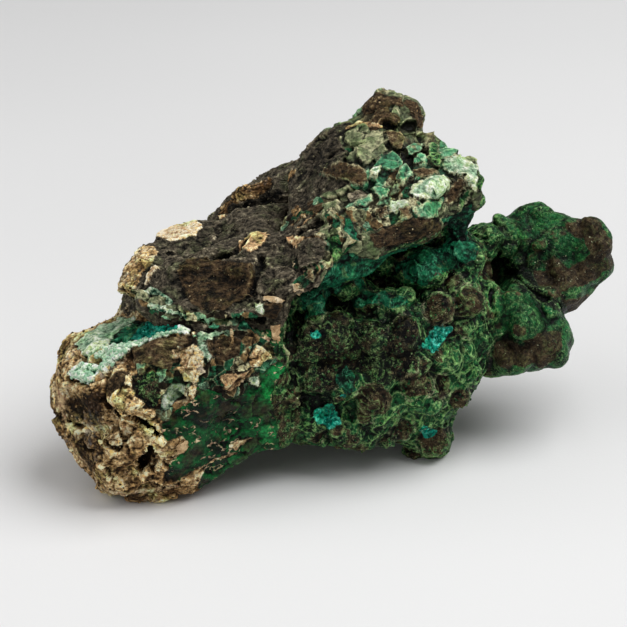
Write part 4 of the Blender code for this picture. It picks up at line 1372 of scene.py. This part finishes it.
def scatter_tree(name, mineral, shape, material):
    """Geometry nodes that set small bodies on one mineral of the skin."""
    inputs = [
        ("Geometry", "NodeSocketGeometry", None), ("Density", "NodeSocketFloat", 1e5),
        ("Smallest", "NodeSocketFloat", 0.2), ("Size", "NodeSocketFloat", MM), ("Seed", "NodeSocketInt", 0),
        ("Right End", "NodeSocketFloat", 1.0),
    ]
    tree = new_tree(name, "GeometryNodeTree", inputs, [("Geometry", "NodeSocketGeometry")])
    g = Graph(tree)
    given = g.add("NodeGroupInput").outputs
    at = g.add("GeometryNodeInputPosition").outputs[0]
    inside = g.times(g.math("LESS_THAN", g.part(at, 0), given["Right End"]),
                     g.math("GREATER_THAN", g.part(at, 2), 1.5 * MM))
    density = g.times(given["Density"], g.remap(g.named(mineral), 0.45, 0.8), inside)
    inputs = {"Mesh": given["Geometry"], "Seed": given["Seed"], "Density": density}
    points = g.add("GeometryNodeDistributePointsOnFaces", inputs, distribute_method="RANDOM").outputs
    inputs = {2: given["Smallest"], 3: 1.0, 8: given["Seed"]}
    share = g.add("FunctionNodeRandomValue", inputs, data_type="FLOAT").outputs[1]
    scale = g.times(g.math("POWER", share, 1.6), given["Size"])
    lean = LEAN[shape]
    inputs = {0: (-lean, -lean, -3.1), 1: (lean, lean, 3.1), 8: given["Seed"]}
    turn = g.add("FunctionNodeRandomValue", inputs, data_type="FLOAT_VECTOR").outputs[0]
    turn = g.add("FunctionNodeEulerToRotation", {0: turn}).outputs[0]
    inputs = {0: points["Rotation"], 1: turn}
    rotation = g.add("FunctionNodeRotateRotation", inputs, rotation_space="LOCAL").outputs[0]
    if shape == "crystal":
        inputs = {"Vertices": 5, "Radius Top": 0.28, "Radius Bottom": 0.4, "Depth": 1.6}
        body = g.add("GeometryNodeMeshCone", inputs).outputs["Mesh"]
    else:
        inputs = {"Radius": 0.5, "Subdivisions": 2 if shape == "bead" else 1}
        body = g.add("GeometryNodeMeshIcoSphere", inputs).outputs["Mesh"]
    inputs = {"Points": points["Points"], "Instance": body, "Rotation": rotation,
              "Scale": g.vector("SCALE", (1.0, 1.0, 1.0), scale)}
    result = g.add("GeometryNodeInstanceOnPoints", inputs).outputs[0]
    if shape in UNEVEN:
        result = g.add("GeometryNodeRealizeInstances", {"Geometry": result}).outputs[0]
        shift = g.centred_vector(g.noise(at, 0.8, 1).outputs["Color"])
        inputs = {"Geometry": result, "Offset": g.vector("SCALE", shift, UNEVEN[shape] * MM)}
        result = g.add("GeometryNodeSetPosition", inputs).outputs[0]
    end_tree(g, result, material)
    return tree


def scatter(name, mineral, shape, material, density, smallest, size, right_end, seed):
    """Grows one kind of small body on the skin. The density is how many there are on a square centimetre."""
    obj = new_object(name, bpy.data.objects["skin"].data.copy())
    tree = scatter_tree(name.replace("_", " "), mineral, shape, material)
    values = {
        "Density": density * 1e4, "Smallest": smallest, "Size": size, "Seed": seed,
        "Right End": right_end * MM,
    }
    grow(obj, tree, values)
    for left in [a.name for a in obj.data.attributes if a.name in (*MINERALS, *PAINTED, *RECORDED)]:
        obj.data.attributes.remove(obj.data.attributes[left])
    finish_piece(obj, name)


class SPECIMEN_OT_skin(bpy.types.Operator):
    """Grows the skin with its minerals, and parts it into slabs, block, shoulder, mass, lobes and back"""

    bl_idname = "specimen.skin"
    bl_label = "Mineral Skin"

    def execute(self, context):
        settings = context.scene.specimen_skin
        solid = welded_solid()
        tree = BVHTree.FromBMesh(solid)
        add_knobs(solid, tree)
        skin = new_object("skin", mesh_from(solid, "skin"))
        remesh(skin, settings.cell * (1))
        points = mesh_points(skin.data)
        normals = mesh_normals(skin.data)
        paint = Paint(points, normals)
        paint.add_ground()
        paint.add_knob_tops(tree)
        paint.add_strokes(tree)
        paint.add_areas(tree)
        lift = paint.numbers.pop("lift") - carved_depth(points, tree)
        move_points(skin.data, points + normals * lift[:, None])
        for name, values in paint.numbers.items():
            keep_number(skin.data, name, values)
        material = skin_material(context.scene.specimen_colours)
        values = {
            "Knob Spacing": settings.knob_spacing, "Knob Height": settings.knob_height,
            "Plate Spacing": settings.plate_spacing, "Plate Height": settings.plate_height,
            "Grain Height": settings.grain_height,
        }
        grow(skin, relief_tree(material), values)
        points = mesh_points(skin.data)
        low, high = (np.array(corner) / MM for corner in CAD_BOX)
        spare = BOX_SPARE * (high - low)
        move_points(skin.data, np.clip(points, low - spare * (1, 1, 0), high + spare))
        for name, part in split_skin(skin).items():
            piece = new_object(name, mesh_from(part, name))
            piece.data.materials.clear()
            piece.data.materials.append(material)
            finish_piece(piece, name)
        skin.hide_render = True
        return {"FINISHED"}


class SPECIMEN_OT_grains(bpy.types.Operator):
    """Grows the mint beads, malachite beads, crumbs and turquoise crystals on the skin"""

    bl_idname = "specimen.grains"
    bl_label = "Beads, Crumbs and Crystals"

    def execute(self, context):
        settings = context.scene.specimen_grains
        colours = context.scene.specimen_colours
        bead, crumb, crystal = settings.bead_size, settings.crumb_size, settings.crystal_size
        rows = [
            ("mint_beads", "froth", "bead", "froth", 180, 0.4, bead, -24),
            ("turquoise_beads", "turquoise", "bead", "turquoise", 90, 0.5, 1.3 * bead, -24),
            ("malachite_beads", "malachite", "bead", "malachite", 30, 0.3, 0.6 * bead, 31),
            ("ochre_crumbs", "ochre", "crumb", "ochre", 20, 0.3, crumb, 62),
            ("dark_crumbs", "ochre", "crumb", "umber", 25, 0.3, crumb, 62),
            ("crust_crumbs", "oxide", "crumb", "oxide", 40, 0.3, 0.8 * crumb, 62),
            ("tan_crumbs", "umber", "crumb", "ochre", 14, 0.3, 0.55 * crumb, 62),
            ("turquoise_crystals", "turquoise", "crystal", "turquoise", 80, 0.4, 0.5 * crystal, 62),
        ]
        for step, (name, mineral, shape, finish, *sizes) in enumerate(rows):
            material = grain_material(name.replace("_", " "), finish, colours)
            scatter(name, mineral, shape, material, *sizes, settings.seed + step)
        return {"FINISHED"}


def add_chip(bm, tree, pixels, proud):
    """A flat chip with an uneven top, sunk into the stone under its outline."""
    corners = [picture_place(tree, u, v)[0] for u, v in pixels]
    ray = picture_place(tree, *pixels[0])[1]
    middle = sum(corners, Vector()) / len(corners)
    new = []
    for order, corner in enumerate(corners):
        wave = noise.noise(corner / 1.3)
        inner = corner.lerp(middle, 0.12 + 0.1 * abs(wave))
        new.append(bm.verts.new((corner + ray * CHIP_ROOT) * MM))
        new.append(bm.verts.new((inner - ray * proud * (0.75 + 0.5 * wave + 0.1 * (order % 2))) * MM))
    hull = bmesh.ops.convex_hull(bm, input=new)
    loose = [e for e in hull["geom_interior"] if isinstance(e, bmesh.types.BMVert)]
    bmesh.ops.delete(bm, geom=loose, context="VERTS")


class SPECIMEN_OT_chips(bpy.types.Operator):
    """Lays the cream, peach, ochre and brown chips on the stone"""

    bl_idname = "specimen.chips"
    bl_label = "Chips"

    def execute(self, context):
        skin = bmesh.new()
        skin.from_mesh(bpy.data.objects["skin"].data)
        tree = BVHTree.FromBMesh(skin)
        skin.free()
        colours = context.scene.specimen_colours
        for finish in ("cream", "ochre", "umber", "peach"):
            bm = bmesh.new()
            for own, proud, pixels in CHIPS:
                if own == finish:
                    add_chip(bm, tree, pixels, proud)
            piece = new_object(f"{finish}_chips", mesh_from(bm, f"{finish}_chips"))
            piece.data.materials.append(grain_material(f"{finish} chips", finish, colours))
            worn = piece.modifiers.new("worn edges", "REMESH")
            worn.mode = "VOXEL"
            worn.voxel_size = CHIP_CELL * MM
            apply_modifiers(piece)
            points = mesh_points(piece.data)
            move_points(piece.data, points + wobble(points, 1.3, 0.45, 6) + wobble(points, 0.5, 0.2, 7))
            finish_piece(piece, piece.name)
        return {"FINISHED"}


# The lamps in metres: where they are, how wide, and the point that they face.
KEY_PLACE = (0.44, -0.04, 0.85)
FILL_PLACE = (-0.35, -0.15, 0.4)
LAMP_SIZE = 0.75
LIT_POINT = (0, 0, 0.02)


def facing(direction):
    """The turn of a lamp or a camera that looks this way."""
    return direction.to_track_quat("-Z", "Y").to_euler()


def add_lamp(name, power, place):
    light = bpy.data.lights.new(name, "AREA")
    light.energy = power
    light.size = LAMP_SIZE
    lamp = new_object(name, light)
    lamp.location = place
    lamp.rotation_euler = facing(Vector(LIT_POINT) - Vector(place))


class SPECIMEN_OT_stage(bpy.types.Operator):
    """Lays the pale floor and sets up the soft lights and the camera"""

    bl_idname = "specimen.stage"
    bl_label = "Stage"

    def execute(self, context):
        settings = context.scene.specimen_stage
        bm = bmesh.new()
        bmesh.ops.create_circle(bm, cap_ends=True, segments=64, radius=settings.floor_radius)
        floor = new_object("floor", mesh_from(bm, "floor"))
        material, g = start_material("pale paper")
        place = g.add("ShaderNodeTexCoord").outputs["Object"]
        tone = g.remap(g.noise(place, 300, 2).outputs["Fac"], 0.3, 0.7)
        colour = g.mix(tone, (0.76, 0.76, 0.76, 1), (0.79, 0.79, 0.79, 1))
        end_material(g, colour, 0.9, g.times(g.noise(place, 0.6, 2).outputs["Fac"], 0.02))
        floor.data.materials.append(material)
        world = bpy.data.worlds.new("studio")
        world.use_nodes = True
        sky = world.node_tree.nodes["Background"]
        sky.inputs["Color"].default_value = (1, 1, 1, 1)
        sky.inputs["Strength"].default_value = settings.sky
        context.scene.world = world
        add_lamp("key", settings.key_power, KEY_PLACE)
        add_lamp("fill", settings.fill_power, FILL_PLACE)
        context.scene.view_settings.view_transform = "Standard"
        ahead, _, eye = camera_axes()
        camera = new_object("camera", bpy.data.cameras.new("camera"))
        camera.location = eye * MM
        camera.rotation_euler = facing(ahead)
        camera.data.lens = LENS
        camera.data.sensor_width = SENSOR
        camera.data.clip_start = 0.01
        camera.data.clip_end = 10
        context.scene.camera = camera
        return {"FINISHED"}


class SPECIMEN_PT_panel(bpy.types.Panel):
    """Lists the specimen's steps and what they read"""

    bl_idname = "SPECIMEN_PT_panel"
    bl_label = "Malachite Specimen"
    bl_space_type = "VIEW_3D"
    bl_region_type = "UI"
    bl_category = "Specimen"

    def draw(self, context):
        for step in STEPS:
            self.layout.operator(step.bl_idname)
        for name, group in SETTINGS.items():
            box = self.layout.box()
            box.label(text=group.__doc__)
            for key in group.__annotations__:
                box.prop(getattr(context.scene, name), key)


SETTINGS = {
    "specimen_colours": SpecimenColours, "specimen_skin": SpecimenSkin,
    "specimen_grains": SpecimenGrains, "specimen_stage": SpecimenStage,
}
STEPS = (SPECIMEN_OT_skin, SPECIMEN_OT_grains, SPECIMEN_OT_chips, SPECIMEN_OT_stage)


def register():
    for cls in (*SETTINGS.values(), *STEPS, SPECIMEN_PT_panel):
        bpy.utils.register_class(cls)
    for name, group in SETTINGS.items():
        setattr(bpy.types.Scene, name, bpy.props.PointerProperty(type=group))


def unregister():
    for name in SETTINGS:
        delattr(bpy.types.Scene, name)
    for cls in (SPECIMEN_PT_panel, *reversed(STEPS), *reversed(SETTINGS.values())):
        bpy.utils.unregister_class(cls)


def main():
    register()
    bpy.ops.specimen.skin()
    bpy.ops.specimen.grains()
    bpy.ops.specimen.chips()
    bpy.ops.specimen.stage()
    bpy.data.objects.remove(bpy.data.objects["skin"])


if __name__ == "__main__":
    main()
